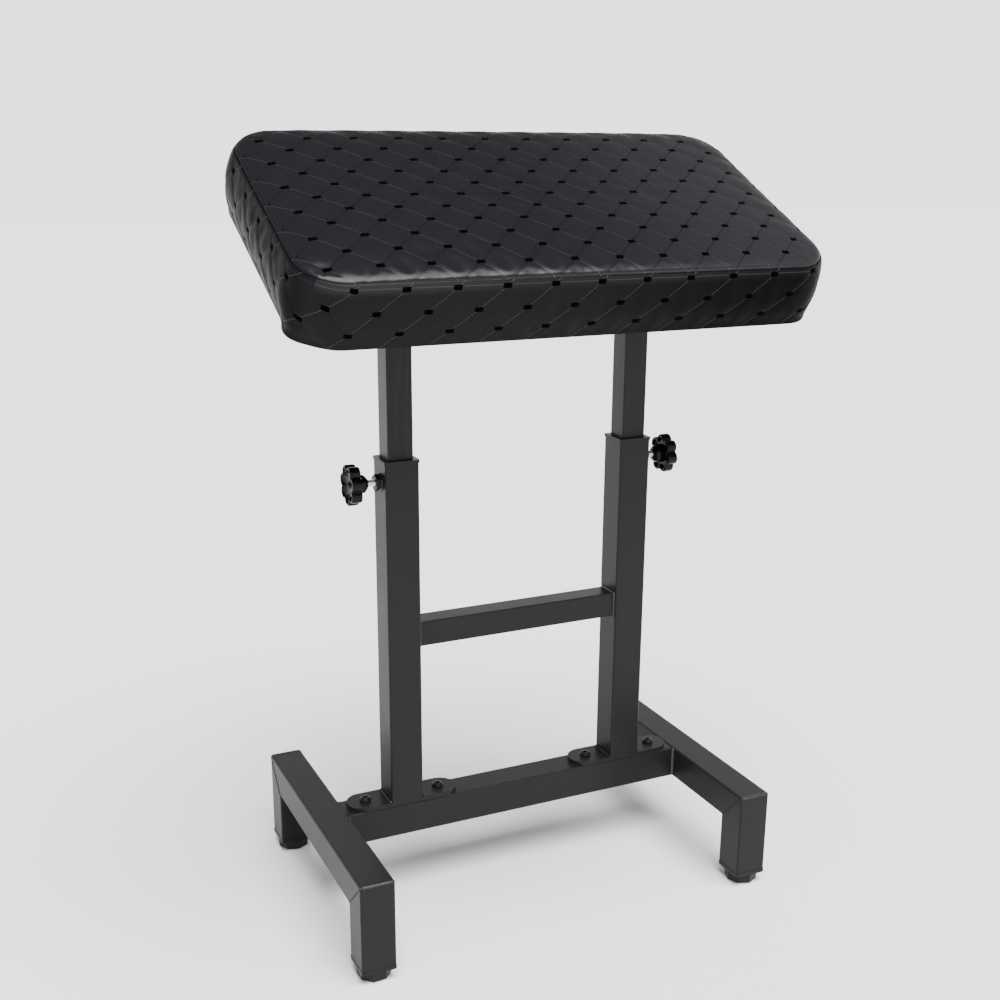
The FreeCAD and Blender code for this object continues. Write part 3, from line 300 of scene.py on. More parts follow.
def leatherette():
    # Leatherette with a diamond lattice of stitches, an embroidered bar at each crossing and seam stitching.
    # The UV map counts half diamonds; the Seam map holds metres along and metres away from the top seam.
    made = Shader("leatherette")
    u, v = made.chart("UVMap")
    along, away = made.chart("Seam")
    x = made.axes(made.place())[0]
    span = quiltSpan()
    rising, falling = (u + v) / 2.0, (u - v) / 2.0
    risingOff, fallingOff = rising.offCentre() * span, falling.offCentre() * span
    groove = risingOff.least(fallingOff).fade(0.1, 1.0)
    beat = span / stitching["stitch"]
    dashes = [(other * beat).offCentre().fade(0.30, 0.42) * off.fade(0.25, stitching["thread"])
              for off, other in ((risingOff, falling), (fallingOff, rising))]
    satin = (u * quilt["topStep"] / stitching["satin"]).offCentre() * 2.0
    gap = abs(away) * 1000.0
    onTop = (away * 1000.0).fade(-0.2, 0.2, 0.0, 1.0)
    bars = barMask(u, v) * (1.0 - onTop * gap.fade(4.6, 5.8))
    seamLine = gap.fade(0.1, 0.8)
    row = abs(gap - stitching["seamRow"])
    ends = abs(x).fade(*leather["ends"], 1.0, 0.3)
    rowCrease = onTop * row.fade(0.1, 0.8) * ends
    seamBeat = along * 1000.0 / stitching["seamStitch"]
    seamDash = seamBeat.offCentre().fade(0.32, 0.42) * row.fade(0.3, 0.6) * 0.6 * ends
    # Painted highlight: dashes on the rising lines count fully and those on the falling lines only a fifth,
    # standing in for the light that one direction of line catches.
    thread = dashes[0].most(dashes[1] * 0.2).most(seamDash) * (1.0 - bars)
    grain = made.cells(leather["grainScale"], "DISTANCE_TO_EDGE").fade(0.0, 0.25, 0.0, 1.0)
    crease = made.noise(leather["creaseScale"], 4.0, 0.6)
    height = (grain * 0.10 + crease * 0.12 - groove * 0.8 - seamLine * 1.0 - rowCrease * 0.9
              + thread * 0.4 + bars * (0.5 + satin * 0.35))
    made.bump(height, leather["bump"])
    tone = made.mix(crease, leather["dark"], leather["light"])
    # Painted light: the top is painted a lighter grey, a quarter everywhere and fully toward the right, as a
    # painted sheen for the light reflected there. The boxing below it is painted darker toward the right, as
    # painted shade where the light falls off.
    right = x.fade(*leather["right"], 0.0, 1.0)
    tone = made.mix((right * 0.75 + 0.25) * onTop, tone, leather["paintedSheen"])
    tone = made.mix(right * (1.0 - onTop), tone, leather["paintedShade"])
    # Painted shade: the stitched grooves, the seam and the stitched row beside it are mixed toward the
    # near-black crease colour, standing in for the shade inside these creases.
    tone = made.mix(groove.most(seamLine).most(rowCrease) * 0.7, tone, leather["crease"])
    # The light thread colour is partly the thread's own tone and partly a painted highlight.
    tone = made.mix(thread * 0.7, tone, leather["thread"])
    tone = made.mix(bars, tone, leather["bar"])
    rough = leather["roughness"] + crease * 0.12 - grain * 0.03
    # The front edge, where arms rub, is polished, most near the left corner
    front = (along.fade(*polished["comes"], 0.0, 1.0) * along.fade(*polished["grows"], 1.0, 1.9)
             * along.fade(*polished["weakens"], 1.0, 0.3) * along.fade(*polished["goes"]))
    sheen = x.fade(*polished["sheenComes"], 0.0, 1.0) * x.fade(*polished["sheenGoes"]) * leather["sheen"]
    upper = onTop + (1.0 - onTop) * along.fade(*polished["below"], 1.0, 0.3)
    polish = front * upper * gap.fade(2.0, leather["polishWide"]) * leather["polish"]
    return made.finish(Base_Color=tone, Roughness=rough * (1.0 - bars) + bars * 0.8,
                       Specular_IOR_Level=leather["gloss"], Coat_Weight=(polish + sheen) * (1.0 - bars),
                       Coat_Roughness=leather["polishRough"])


finishes = {
    "powder_coat": powderCoat("powderCoat"),
    "zinc_steel": brightZinc("brightZinc", (0.88, 0.89, 0.91), 0.36),
    "black_steel": mottled("blackSteel"),
    "knob_plastic": mouldedPlastic("knobPlastic", (0.0022, 0.0022, 0.0024), 0.14, 500.0, 0.12),
    "black_plastic": mouldedPlastic("blackPlastic", (0.0080, 0.0080, 0.0086), 0.40, 1400.0, 0.12),
    "white_nylon": mouldedPlastic("whiteNylon", (0.62, 0.62, 0.58), 0.45, 900.0, 0.5),
    "black_leatherette": leatherette(),
    "plywood": plywood(),
    "black_cloth": wovenCloth(),
    "foam": foamCells(),
}
slidingCoat = powderCoat("slidingCoat", 0.35)
weldFinish, dullWeld, seamFinish = [mottled(name) for name in ("coatedWeld", "coatedFillet", "mitreSeamCoat")]
for part in frame["record"]["subparts"]:
    mesh = nodes[part["node"]].data
    mesh.materials.clear()
    mesh.materials.append(slidingCoat if "inner_post" in part["node"] else finishes[part["material_slot"]])
print("stage: finishes made")


# Mesh helpers

def addPiece(name, points, faces, body, slotName, smooth=True, material=None):
    # points: rows of x, y, z in metres; faces: lists of point numbers, counter-clockwise from outside.
    mesh = bpy.data.meshes.new(name)
    mesh.from_pydata(np.asarray(points).tolist(), [], faces)
    mesh.polygons.foreach_set("use_smooth", [smooth] * len(mesh.polygons))
    mesh.materials.append(material or finishes[slotName])
    piece = bpy.data.objects.new(name, mesh)
    bpy.context.scene.collection.objects.link(piece)
    if body:
        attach(piece, body)
    return piece


def cornerPoints(mesh):
    # The point number of each face corner.
    corners = np.empty(len(mesh.loops), int)
    mesh.loops.foreach_get("vertex_index", corners)
    return corners


def addChart(mesh, name, spots):
    # A UV map from one pair of numbers for each face corner.
    mesh.uv_layers.new(name=name).data.foreach_set("uv", spots.astype(np.float32).reshape(-1))


def gridFaces(index):
    # Quads of a grid of point numbers, rows along the first axis.
    return np.stack([index[:-1, :-1], index[1:, :-1], index[1:, 1:], index[:-1, 1:]], -1).reshape(-1, 4)


def ringFaces(rows, count):
    # Quads between closed rings of count points each, one ring after another.
    index = np.arange(rows * count).reshape(rows, count)
    return gridFaces(np.column_stack([index, index[:, 0]]))


def shellFaces(rows, count):
    # The rings' quads, with the first and the last ring closed by one flat face each.
    ends = [list(range(count)), list(range((rows - 1) * count, rows * count))[::-1]]
    return ringFaces(rows, count).tolist() + ends


def gather(shells):
    # Joins (points, faces) pairs into one pair, with the point numbers moved up.
    starts = np.cumsum([0] + [len(points) for points, faces in shells])
    faces = [[corner + int(start) for corner in face]
             for start, (points, own) in zip(starts, shells) for face in own]
    return np.concatenate([points for points, faces in shells]), faces


def turnOut(piece):
    # The faces of each closed shell are turned outward by the mesh tools.
    shell = bmesh.new()
    shell.from_mesh(piece.data)
    bmesh.ops.recalc_face_normals(shell, faces=shell.faces)
    shell.to_mesh(piece.data)
    shell.free()


def roundPlan(squareX, squareY, halfX, halfY, corner):
    # Near each corner of a rectangle the square place (a, b) is drawn in to (a sqrt(1 - b b / 2),
    # b sqrt(1 - a a / 2)), a quarter circle. Gives x, y and where both a and b lie in a corner.
    a = np.maximum(0, np.abs(squareX) - (halfX - corner)) / corner
    b = np.maximum(0, np.abs(squareY) - (halfY - corner)) / corner
    x = np.where(a > 0, np.sign(squareX) * (halfX - corner + corner * a * np.sqrt(1 - b * b / 2)), squareX)
    y = np.where(b > 0, np.sign(squareY) * (halfY - corner + corner * b * np.sqrt(1 - a * a / 2)), squareY)
    return x, y, (a > 0) & (b > 0)


# Pad: quilted cover

padShape = {"length": 605.0, "depth": 305.0, "corner": 50.0, "forward": 1.0, "underside": 28.0,
            "seam": 100.0, "crown": 14.0, "crownAlong": 6.0, "crownFront": 2.6, "crownRear": 6.0,
            "rearRise": 4.5, "risePower": 6, "bulge": 3.0, "endBulge": 2.6, "bulgeRate": 1.1, "kick": 6.0,
            "kickPower": 2, "kickLean": 26.0, "leanFront": 60.0, "leanLeft": 80.0, "tuck": 1.6,
            "tuckPower": 6, "seamInset": 1.7, "topRoll": 4.5, "rollDrop": 1.0, "sideRoll": 6.0, "groove": 0.35,
            "grooveWidth": 1.5, "dimple": 0.3, "dimpleWidth": 5.0, "leastCell": 2.4, "tilt": 26.0,
            "pivot": 728.0, "footCell": 0.9, "topLines": (0.6, 1.5, 2.9),
            "seamLines": (0.0, 0.5, 1.2, 2.4, 3.9)}
# The hem under the board: pairs of inset from the tucked rim and sag under the underside, then pairs of
# inset and rise over it where the hem is folded up and laid back, and the wall that leads up inside
hem = {"run": ((0.5, -0.1), (1.6, 0.25), (4, 0.4), (9, 0.45), (16, 0.4), (23, 0.35), (29, 0.25), (33.2, 0.1),
               (36.6, 0.0)),
       "back": ((37.0, 0.5), (36.7, 0.7), (33.6, 0.7), (33.2, 1.5), (2.2, 1.5)), "wallInset": 2.2,
       "wallShort": 6.0, "kickReach": 34.0, "wave": 0.22, "waveLong": 13.0, "ripple": 0.12, "rippleLong": 5.3,
       "waveShare": 0.2}
clothRun = {"pressure": 4.0, "frames": 20, "cap": 1.2, "slack": -0.012, "pinReach": 1.9, "edgePin": 0.5,
            "seamPin": 3.0, "hemPin": 4.0, "plainPuff": 1.2, "puffReach": 12.0, "puffPower": 0.6,
            "quality": 6, "mass": 0.25, "tension": 18.0, "shear": 8.0, "bending": 4.0, "damping": 10.0}
turnAngle = math.radians(padShape["tilt"])


def padToWorld(points):
    # Pad pieces are drawn level about the pivot in millimetres, then tilted and lifted into place.
    x, y, z = np.asarray(points, float).T
    return np.stack([x, y * math.cos(turnAngle) - z * math.sin(turnAngle),
                     y * math.sin(turnAngle) + z * math.cos(turnAngle) + padShape["pivot"]], -1) * mm


# The rim is a rectangle core with a round corner carried about it. Its travel starts in the middle of the
# front left corner and runs along the front, the right side, the rear and the left side.
coreX = padShape["length"] / 2 - padShape["corner"]
coreY = padShape["depth"] / 2 - padShape["corner"]
arc = padShape["corner"] * math.pi / 2
rimStops = np.cumsum([0, arc / 2, 2 * coreX, arc, 2 * coreY, arc, 2 * coreX, arc, 2 * coreY, arc / 2])
around = rimStops[-1]


def rimPoint(travel, outset):
    # Core corner or side, plus (corner + outset) in the direction that turns with the travel.
    quarter = np.array([0, 1, 1, 3, 3, 5, 5, 7, 7, 8]) / 4
    angle = (np.interp(travel % around, rimStops, quarter) - 0.75) * np.pi
    x = np.interp(travel % around, rimStops, coreX * np.array([-1, -1, 1, 1, 1, 1, -1, -1, -1, -1]))
    y = np.interp(travel % around, rimStops, coreY * np.array([-1, -1, -1, -1, 1, 1, 1, 1, -1, -1]))
    reach = padShape["corner"] + outset
    return x + reach * np.cos(angle), y + reach * np.sin(angle)


def cornerShare(travel):
    # 1 in the middle of each round corner, 0 on the straight sides: a squared sine of the turned angle.
    turned = np.interp(travel % around, rimStops, [0, 1, 1, 3, 3, 5, 5, 7, 7, 8])
    return np.sin(np.pi * (turned + 1) / 2) ** 2


def kickOut(travel):
    # How far the foot of the boxing stands out: the kick times the corner's share, read further along the rim
    # near the front left corner, whose foot leans out to the left.
    travel = travel % around
    leanEnds = [arc / 2 + padShape["leanFront"], around - arc / 2 - padShape["leanLeft"]]
    lean = np.interp(travel, [0, *leanEnds, around], [1, 0, 0, 1])
    return padShape["kick"] * cornerShare(travel + padShape["kickLean"] * lean)


def rimTravel(x, y):
    # The travel of the rim point that a point faces: the turned angle times the corner, plus the core's run.
    nearX, nearY = np.clip(x, -coreX, coreX), np.clip(y, -coreY, coreY)
    turned = (np.arctan2(y - nearY, x - nearX) + 0.75 * np.pi) % (2 * np.pi)
    quarter = np.minimum((turned / (np.pi / 2)).astype(int), 3)
    run = np.choose(quarter, [nearX + coreX, 2 * coreX + nearY + coreY, 3 * coreX + 2 * coreY - nearX,
                              4 * coreX + 3 * coreY - nearY])
    return padShape["corner"] * turned + run


frontStart, leftStart = rimStops[1], rimStops[7]
leftCount = quilt["leftCount"] - quilt["leftMark"] / quilt["leftStep"]
travelMarks = np.array([-arc / 2, quilt["leftMark"] - arc / 2, arc / 2 - quilt["cornerMark"], frontStart,
                        rimStops[2], leftStart])
countMarks = np.array([leftCount, quilt["leftCount"], quilt["cornerCount"],
                       (-coreX - quilt["sideStart"]) / quilt["sideStep"],
                       (coreX - quilt["sideStart"]) / quilt["sideStep"],
                       quilt["around"] + leftCount - 2 * coreY / quilt["leftStep"]])
travelMarks = np.concatenate([travelMarks, travelMarks[:4] + around])
countMarks = np.concatenate([countMarks, countMarks[:4] + quilt["around"]])


def dropLattice(travel, drop):
    # Rows of the boxing's lattice: the drop less its start over the step. The left side has a start of its
    # own, and both are blended in round the corners.
    level, left = quilt["dropStart"], quilt["leftDrop"]
    stops = [-arc / 2, arc / 2, leftStart - arc, leftStart, around - arc / 2, around + arc / 2]
    return (drop - np.interp(travel, stops, [left, level, level, left, left, level])) / quilt["dropStep"]


def lineGap(u, v):
    # Millimetres to the nearest stitched line, and to the nearest crossing of two lines.
    rising, falling = [np.abs(way - np.round(way)) * quiltSpan() for way in ((u + v) / 2, (u - v) / 2)]
    return np.minimum(rising, falling), np.hypot(rising, falling)


def roll(gap, radius):
    # A quarter circle from 1 at the seam to 0 at its radius.
    return 1 - np.sqrt(1 - np.clip(1 - gap / radius, 0, 1) ** 2)


def rearLift(y):
    # The seam climbs to the rear by a high power of the share of the depth.
    return padShape["rearRise"] * np.clip(0.5 + y / padShape["depth"], 0, 1) ** padShape["risePower"]


def topSurface(columns, rows):
    # Straight lattice columns and rows, closed by the pad's edges and drawn in at its round corners. Gives
    # the points, their lattice counts and how far each lies from the edge.
    halfX, halfY, corner = [size - padShape["seamInset"] for size in
                            (padShape["length"] / 2, padShape["depth"] / 2, padShape["corner"])]
    squareX, squareY = np.meshgrid(columns, rows, indexing="ij")
    x, y, inCorner = roundPlan(squareX, squareY, halfX, halfY, corner)
    rim = corner - np.hypot(np.maximum(np.abs(x) - coreX, 0), np.maximum(np.abs(y) - coreY, 0))
    edge = np.maximum(0, np.where(inCorner, rim, np.minimum(halfX - np.abs(x), halfY - np.abs(y))))
    # Crown: the root of one minus a power of the share along, times the same across, fuller to the rear
    power = np.where(squareY > 0, padShape["crownRear"], padShape["crownFront"])
    crown = padShape["crown"] * np.sqrt(np.clip((1 - (np.abs(squareX) / halfX) ** padShape["crownAlong"])
                                                * (1 - (np.abs(squareY) / halfY) ** power), 0, 1))
    z = padShape["seam"] + crown + rearLift(y) - padShape["rollDrop"] * roll(edge, padShape["topRoll"])
    u = (x - quilt["topStart"]) / quilt["topStep"]
    v = (y + padShape["depth"] / 2 - quilt["rowStart"]) / quilt["rowStep"]
    return np.stack([x, y + padShape["forward"], z], -1), u, v, edge


def sideSurface(counts, drops):
    # Boxing: the rim carried down, swollen by a sine, more so at the ends, rolled in to the seam, tucked
    # under by a steep power and kicked out at the corners by a square of the share.
    height = padShape["seam"] - padShape["underside"]
    travel = np.interp(counts, countMarks, travelMarks)[:, None]
    drop = drops[None, :] + 0 * travel
    share = drop / height
    swollen = np.sin(np.pi * np.minimum(1, share * padShape["bulgeRate"]))
    outset = (padShape["bulge"] * swollen - padShape["tuck"] * share ** padShape["tuckPower"]
              - padShape["seamInset"] * roll(drop, padShape["sideRoll"])
              + kickOut(travel) * share ** padShape["kickPower"])
    x, y = rimPoint(travel, outset)
    x = x * (1 + padShape["endBulge"] * swollen * 2 / padShape["length"])
    points = np.stack([x, y + padShape["forward"], padShape["seam"] + rearLift(y) * (1 - share) - drop], -1)
    return points, counts[:, None] + 0 * drop, dropLattice(travel, drop), drop, travel + 0 * drop


def outward(points, closed=False):
    # Unit normals of a grid of points: the cross product of its two slopes.
    if closed:
        along = np.roll(points, -1, 0) - np.roll(points, 1, 0)
    else:
        along = np.gradient(points, axis=0)
    normal = np.cross(along, np.gradient(points, axis=1))
    return normal / np.maximum(np.linalg.norm(normal, axis=-1, keepdims=True), 1e-9)


def latticeRuns(start, step, low, high, split):
    # Grid lines through the lattice, split to a step, kept a least cell away from both ends.
    first = math.ceil((low + padShape["leastCell"] - start) / step * split)
    last = math.floor((high - padShape["leastCell"] - start) / step * split)
    return start + np.arange(first, last + 1) * step / split


def topRuns(split, extra):
    # The top's columns and rows: lattice lines, with the edge and its extra lines at both ends.
    runs = []
    for size, start, step in ((padShape["length"], quilt["topStart"], quilt["topStep"]),
                              (padShape["depth"], quilt["rowStart"] - padShape["depth"] / 2,
                               quilt["rowStep"])):
        half = size / 2 - padShape["seamInset"]
        lines = latticeRuns(start, step, -half, half, split)
        lines = lines[np.abs(lines) < half - max(extra, default=0) - padShape["leastCell"] / 2]
        ends = half - np.array([0.0, *extra])
        runs.append(np.concatenate([-ends, lines, ends[::-1]]))
    return runs


def sideRuns(split, extra):
    # The boxing's counts round the rim, and its drops: extra lines, lattice lines and two at the foot.
    height = padShape["seam"] - padShape["underside"]
    fine = quilt["dropStep"] / split
    rows = quilt["dropStart"] + np.arange(0, (height - quilt["dropStart"] - 1) / fine) * fine
    counts = quilt["firstCount"] + np.arange(quilt["around"] * split) / split
    return counts, np.concatenate([extra, rows, [height - padShape["footCell"], height]])


def swell():
    # Cloth pass: the cover is pinned along its stitched lines, seam and hem, and blown up from inside.
    # Gives how far each point of a five-cell lattice moves, on the top and on the boxing.
    columns, rows = topRuns(quilt["cells"], [])
    counts, drops = sideRuns(quilt["cells"], [0.0, padShape["leastCell"]])
    top, topU, topV, edge = topSurface(columns, rows)
    side, sideU, sideV, drop, travel = sideSurface(counts, drops)
    height = padShape["seam"] - padShape["underside"]
    onSide = (drop < clothRun["seamPin"]) | (drop > height - clothRun["hemPin"])
    fixed = np.concatenate([(edge < clothRun["edgePin"]).reshape(-1), onSide.reshape(-1)])
    gaps = np.concatenate([lineGap(topU, topV)[0].reshape(-1), lineGap(sideU, sideV)[0].reshape(-1)])
    pinned = np.where(fixed, 1, np.clip(1 - gaps / clothRun["pinReach"], 0, 1))
    start = np.concatenate([top.reshape(-1, 3), side.reshape(-1, 3)])
    topIndex = np.arange(topU.size).reshape(topU.shape)
    sideIndex = topU.size + np.arange(sideU.size).reshape(sideU.shape)
    sideFaces = gridFaces(np.concatenate([sideIndex, sideIndex[:1]]))[:, ::-1]
    faces = np.concatenate([gridFaces(topIndex), sideFaces])
    moved = runCloth(start, faces, pinned)
    return ((columns, rows, moved[:topU.size].reshape(*topU.shape, 3)),
            (counts, drops, moved[topU.size:].reshape(*sideU.shape, 3)))


def runCloth(start, faces, pinned):
    # Blows up the pinned cover for a few frames and returns each point's move, capped.
    mesh = bpy.data.meshes.new("coverTrial")
    mesh.from_pydata((start * mm).tolist(), [], faces.tolist())
    trial = bpy.data.objects.new("coverTrial", mesh)
    bpy.context.scene.collection.objects.link(trial)
    stitches = trial.vertex_groups.new(name="stitches")
    for level in range(1, 11):
        chosen = np.where((pinned > (level - 1) / 10) & (pinned <= level / 10))[0]
        stitches.add(chosen.tolist(), level / 10, "REPLACE")
    cloth = trial.modifiers.new("cloth", "CLOTH")
    values = cloth.settings
    values.quality, values.mass = clothRun["quality"], clothRun["mass"]
    values.tension_stiffness = values.compression_stiffness = clothRun["tension"]
    values.shear_stiffness, values.bending_stiffness = clothRun["shear"], clothRun["bending"]
    values.tension_damping = values.compression_damping = clothRun["damping"]
    values.use_pressure, values.uniform_pressure_force = True, clothRun["pressure"]
    values.vertex_group_mass, values.pin_stiffness = "stitches", 1
    values.shrink_min = clothRun["slack"]
    values.effector_weights.gravity = 0
    cloth.collision_settings.use_collision = False
    cloth.point_cache.frame_start, cloth.point_cache.frame_end = 1, clothRun["frames"]
    scene = bpy.context.scene
    for step in range(1, clothRun["frames"] + 1):
        scene.frame_set(step)
    settled = trial.evaluated_get(bpy.context.evaluated_depsgraph_get()).to_mesh()
    ended = np.empty(len(start) * 3, np.float32)
    settled.vertices.foreach_get("co", ended)
    move = ended.reshape(-1, 3) / mm - start
    bpy.data.objects.remove(trial)
    scene.frame_set(1)
    size = np.linalg.norm(move, axis=1, keepdims=True)
    print("stage: cloth pass, median move %.2f mm, largest %.2f mm" % (np.median(size), size.max()))
    return move * np.minimum(1, clothRun["cap"] / np.maximum(size, 1e-6))


def carry(table, first, second, closed):
    # The cloth's moves read at a finer grid: straight blends along both axes, then a light smoothing.
    oldFirst, oldSecond, moves = table
    if closed:
        oldFirst = np.append(oldFirst, oldFirst[0] + quilt["around"])
        moves = np.concatenate([moves, moves[:1]])
    half = np.stack([np.stack([np.interp(second, oldSecond, line) for line in moves[:, :, axis]])
                     for axis in range(3)], -1)
    full = np.stack([np.stack([np.interp(first, oldFirst, line) for line in half[:, :, axis].T])
                     for axis in range(3)], -1).swapaxes(0, 1)
    for axis in (0, 1) * 3:
        line = full.swapaxes(0, axis).copy()
        line[1:-1] = (line[:-2] + 2 * line[1:-1] + line[2:]) / 4
        full = line.swapaxes(0, axis)
    return full


def stitchIn(points, normals, u, v, fadeOut):
    # Grooves along the stitched lines and dimples at the crossings, pressed in along the normal.
    line, crossing = lineGap(u, v)
    press = (padShape["groove"] * np.exp(-(line / padShape["grooveWidth"]) ** 2)
             + padShape["dimple"] * np.exp(-(crossing / padShape["dimpleWidth"]) ** 2))
    return points - normals * (press * fadeOut)[..., None]


def zipLoops(first, firstAt, second, secondAt):
    # Triangles between two closed loops: each point, in the order of its place along the rim, makes one
    # with the latest points of both loops.
    order = np.argsort(np.concatenate([firstAt, secondAt]), kind="stable")
    isFirst = order < len(first)
    onFirst, onSecond = np.cumsum(isFirst) - 1, np.cumsum(~isFirst) - 1
    a, b = np.array(first)[onFirst % len(first)], np.array(second)[onSecond % len(second)]
    beforeA = np.array(first)[(onFirst - 1) % len(first)]
    beforeB = np.array(second)[(onSecond - 1) % len(second)]
    return np.where(isFirst[:, None], np.stack([beforeA, b, a], -1), np.stack([beforeB, b, a], -1))


def makeCover():
    topMoves, sideMoves = swell()
    columns, rows = topRuns(2 * quilt["cells"], padShape["topLines"])
    counts, drops = sideRuns(2 * quilt["cells"], padShape["seamLines"])
    height = padShape["seam"] - padShape["underside"]
    top, topU, topV, edge = topSurface(columns, rows)
    top = top + carry(topMoves, columns, rows, False)
    top = stitchIn(top, outward(top), topU, topV, np.clip(edge / 3, 0, 1))
    side, sideU, sideV, drop, travel = sideSurface(counts, drops)
    side = side + carry(sideMoves, counts, drops, True)
    side = stitchIn(side, -outward(side, True), sideU, sideV,
                    np.clip(drop / 3, 0, 1) * np.clip((height - drop) / 6, 0, 1))
    # Underside hem: run in flat under the board and a little under the cloth's edge, then folded up and back
    low = padShape["underside"]
    wall = (hem["wallInset"], height - hem["wallShort"])
    rings = [(inset, low - sag, 1) for inset, sag in hem["run"]]
    rings += [(inset, low + rise, 0) for inset, rise in (*hem["back"], wall)]
    ringTravel = travel[:, 0]
    gatherWave = (hem["wave"] * np.sin(ringTravel * 2 * np.pi / hem["waveLong"])
                  + hem["ripple"] * np.sin(ringTravel * 2 * np.pi / hem["rippleLong"]))
    below = []
    for inset, level, shown in rings:
        kick = kickOut(ringTravel) * max(0, 1 - inset / hem["kickReach"])
        x, y = rimPoint(ringTravel, shown * kick - padShape["tuck"] - inset)
        lift = gatherWave * hem["waveShare"] * shown
        below.append(np.stack([x, y + padShape["forward"], level + lift], -1))
    side = np.concatenate([side, np.stack(below, 1)], 1)
    topIndex = np.arange(topU.size).reshape(topU.shape)
    sideIndex = topU.size + np.arange(side.shape[0] * side.shape[1]).reshape(side.shape[:2])
    border = np.concatenate([topIndex[:-1, 0], topIndex[-1, :-1], topIndex[:0:-1, -1], topIndex[0, :0:-1]])
    flatTop = top.reshape(-1, 3)
    borderAt = rimTravel(flatTop[border, 0], flatTop[border, 1] - padShape["forward"]) % around
    borderAt[0] = 0
    upper = np.argsort(ringTravel % around)
    seam = zipLoops(border, borderAt, sideIndex[upper, 0], (ringTravel % around)[upper])
    sideFaces = gridFaces(np.concatenate([sideIndex, sideIndex[:1]]))[:, ::-1]
    faces = gridFaces(topIndex).tolist() + sideFaces.tolist() + seam.tolist() + [sideIndex[::-1, -1].tolist()]
    points = np.concatenate([flatTop, side.reshape(-1, 3)])
    piece = addPiece("padCover", padToWorld(points), faces, "pad", "black_leatherette")
    # Lattice and seam maps for each face corner, unrolled where a face crosses the start of the rim
    hemDrops = [height + inset for inset, level, shown in rings]
    allDrops = np.concatenate([drops, hemDrops])[None, :] + 0 * side[:, :, 0]
    lattice = np.concatenate([np.stack([topU, topV], -1).reshape(-1, 2),
                              np.stack([counts[:, None] + 0 * allDrops,
                                        dropLattice(ringTravel[:, None], allDrops)], -1).reshape(-1, 2)])
    seamMap = np.concatenate([np.stack([rimTravel(flatTop[:, 0], flatTop[:, 1] - padShape["forward"]),
                                        edge.reshape(-1)], -1),
                              np.stack([ringTravel[:, None] + 0 * allDrops, -allDrops], -1).reshape(-1, 2)])
    mesh = piece.data
    corners = cornerPoints(mesh)
    totals = np.empty(len(mesh.polygons), int)
    mesh.polygons.foreach_get("loop_total", totals)
    starts = np.concatenate([[0], np.cumsum(totals)[:-1]])
    onSide = corners >= len(flatTop)
    for name, table, turn, ringed, unit in (("UVMap", lattice, float(quilt["around"]), onSide, 1),
                                            ("Seam", seamMap, around, True, mm)):
        spots = table[corners]
        most = np.repeat(np.maximum.reduceat(spots[:, 0], starts), totals)
        spots[:, 0] += np.where(ringed & (most - spots[:, 0] > turn / 2), turn, 0)
        addChart(mesh, name, spots * unit)
    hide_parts("pad_cover", "pad_foam")
    print("stage: cover made,", len(points), "points")


makeCover()


# Pad: underside cloth

clothShape = {"length": 531.0, "depth": 231.0, "corner": 15.0, "level": 29.35, "sag": 0.35, "cell": 4.0,
              "wavesAlong": 3.5, "wavesAcross": 1.5, "ease": 30.0, "thick": 0.4}


def makeUnderside():
    # A flat grid drawn in to round corners, that sags by a product of two sines, eased off to its edges.
    halfX, halfY, corner = clothShape["length"] / 2, clothShape["depth"] / 2, clothShape["corner"]
    columns, rows = [np.linspace(-half, half, int(2 * half / clothShape["cell"])) for half in (halfX, halfY)]
    x, y, inCorner = roundPlan(*np.meshgrid(columns, rows, indexing="ij"), halfX, halfY, corner)
    ripple = (np.sin(np.pi * (x / halfX + 1) * clothShape["wavesAlong"])
              * np.sin(np.pi * (y / halfY + 1) * clothShape["wavesAcross"]))
    easing = (np.clip((halfX - np.abs(x)) / clothShape["ease"], 0, 1)
              * np.clip((halfY - np.abs(y)) / clothShape["ease"], 0, 1))
    z = clothShape["level"] - clothShape["sag"] * (0.5 + 0.5 * ripple) * easing
    index = np.arange(x.size).reshape(x.shape)
    points = padToWorld(np.stack([x, y + padShape["forward"], z], -1).reshape(-1, 3))
    piece = addPiece("undersideCloth", points, gridFaces(index)[:, ::-1].tolist(), "pad", "black_cloth")
    addChart(piece.data, "UVMap", np.stack([x, y], -1).reshape(-1, 2)[cornerPoints(piece.data)] * mm)
    wall = piece.modifiers.new("thickness", "SOLIDIFY")
    wall.thickness, wall.offset = clothShape["thick"] * mm, 0
    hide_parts("pad_underside_cloth")
    cut = (2 * halfX * 2 * halfY - (4 - math.pi) * corner ** 2) * mm * mm


makeUnderside()


# Threaded rods: the bright studs of the height knobs and of the screw feet

thread = {"radius": 4.0, "pitch": 1.25, "depth": 0.62, "around": 28, "perTurn": 8, "lead": 1.0,
          "knobStart": 164.1, "knobLong": 35.8}


def threadedRod(start, axis, length):
    # Angle a, height h: radius = r - depth |2 frac(h / pitch - a / turn) - 1|, cut by a cone at both ends.
    count = int(length / thread["pitch"] * thread["perTurn"]) + 1
    h = np.linspace(0, length, count)[:, None]
    a = np.linspace(0, 2 * np.pi, thread["around"], endpoint=False)[None, :]
    phase = (h / thread["pitch"] - a / (2 * np.pi)) % 1
    radius = thread["radius"] - thread["depth"] * np.abs(2 * phase - 1)
    cone = thread["radius"] - thread["lead"] + np.minimum(h, length - h)
    radius = np.minimum(radius, np.maximum(cone, thread["radius"] - thread["lead"]))
    ahead = np.array(axis, float)
    side = np.cross(ahead, [0, 1, 0] if abs(ahead[1]) < 0.5 else [1, 0, 0])
    up = np.cross(ahead, side)
    points = (np.array(start, float) + h[..., None] * ahead
              + radius[..., None] * (np.cos(a)[..., None] * side + np.sin(a)[..., None] * up))
    faces = [face[::-1] for face in shellFaces(count, thread["around"])]
    return points.reshape(-1, 3) * mm, faces


def addStud(name, node, body, start, axis, length):
    rod = addPiece(name, *threadedRod(start, axis, length), body, "zinc_steel")
    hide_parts(node)


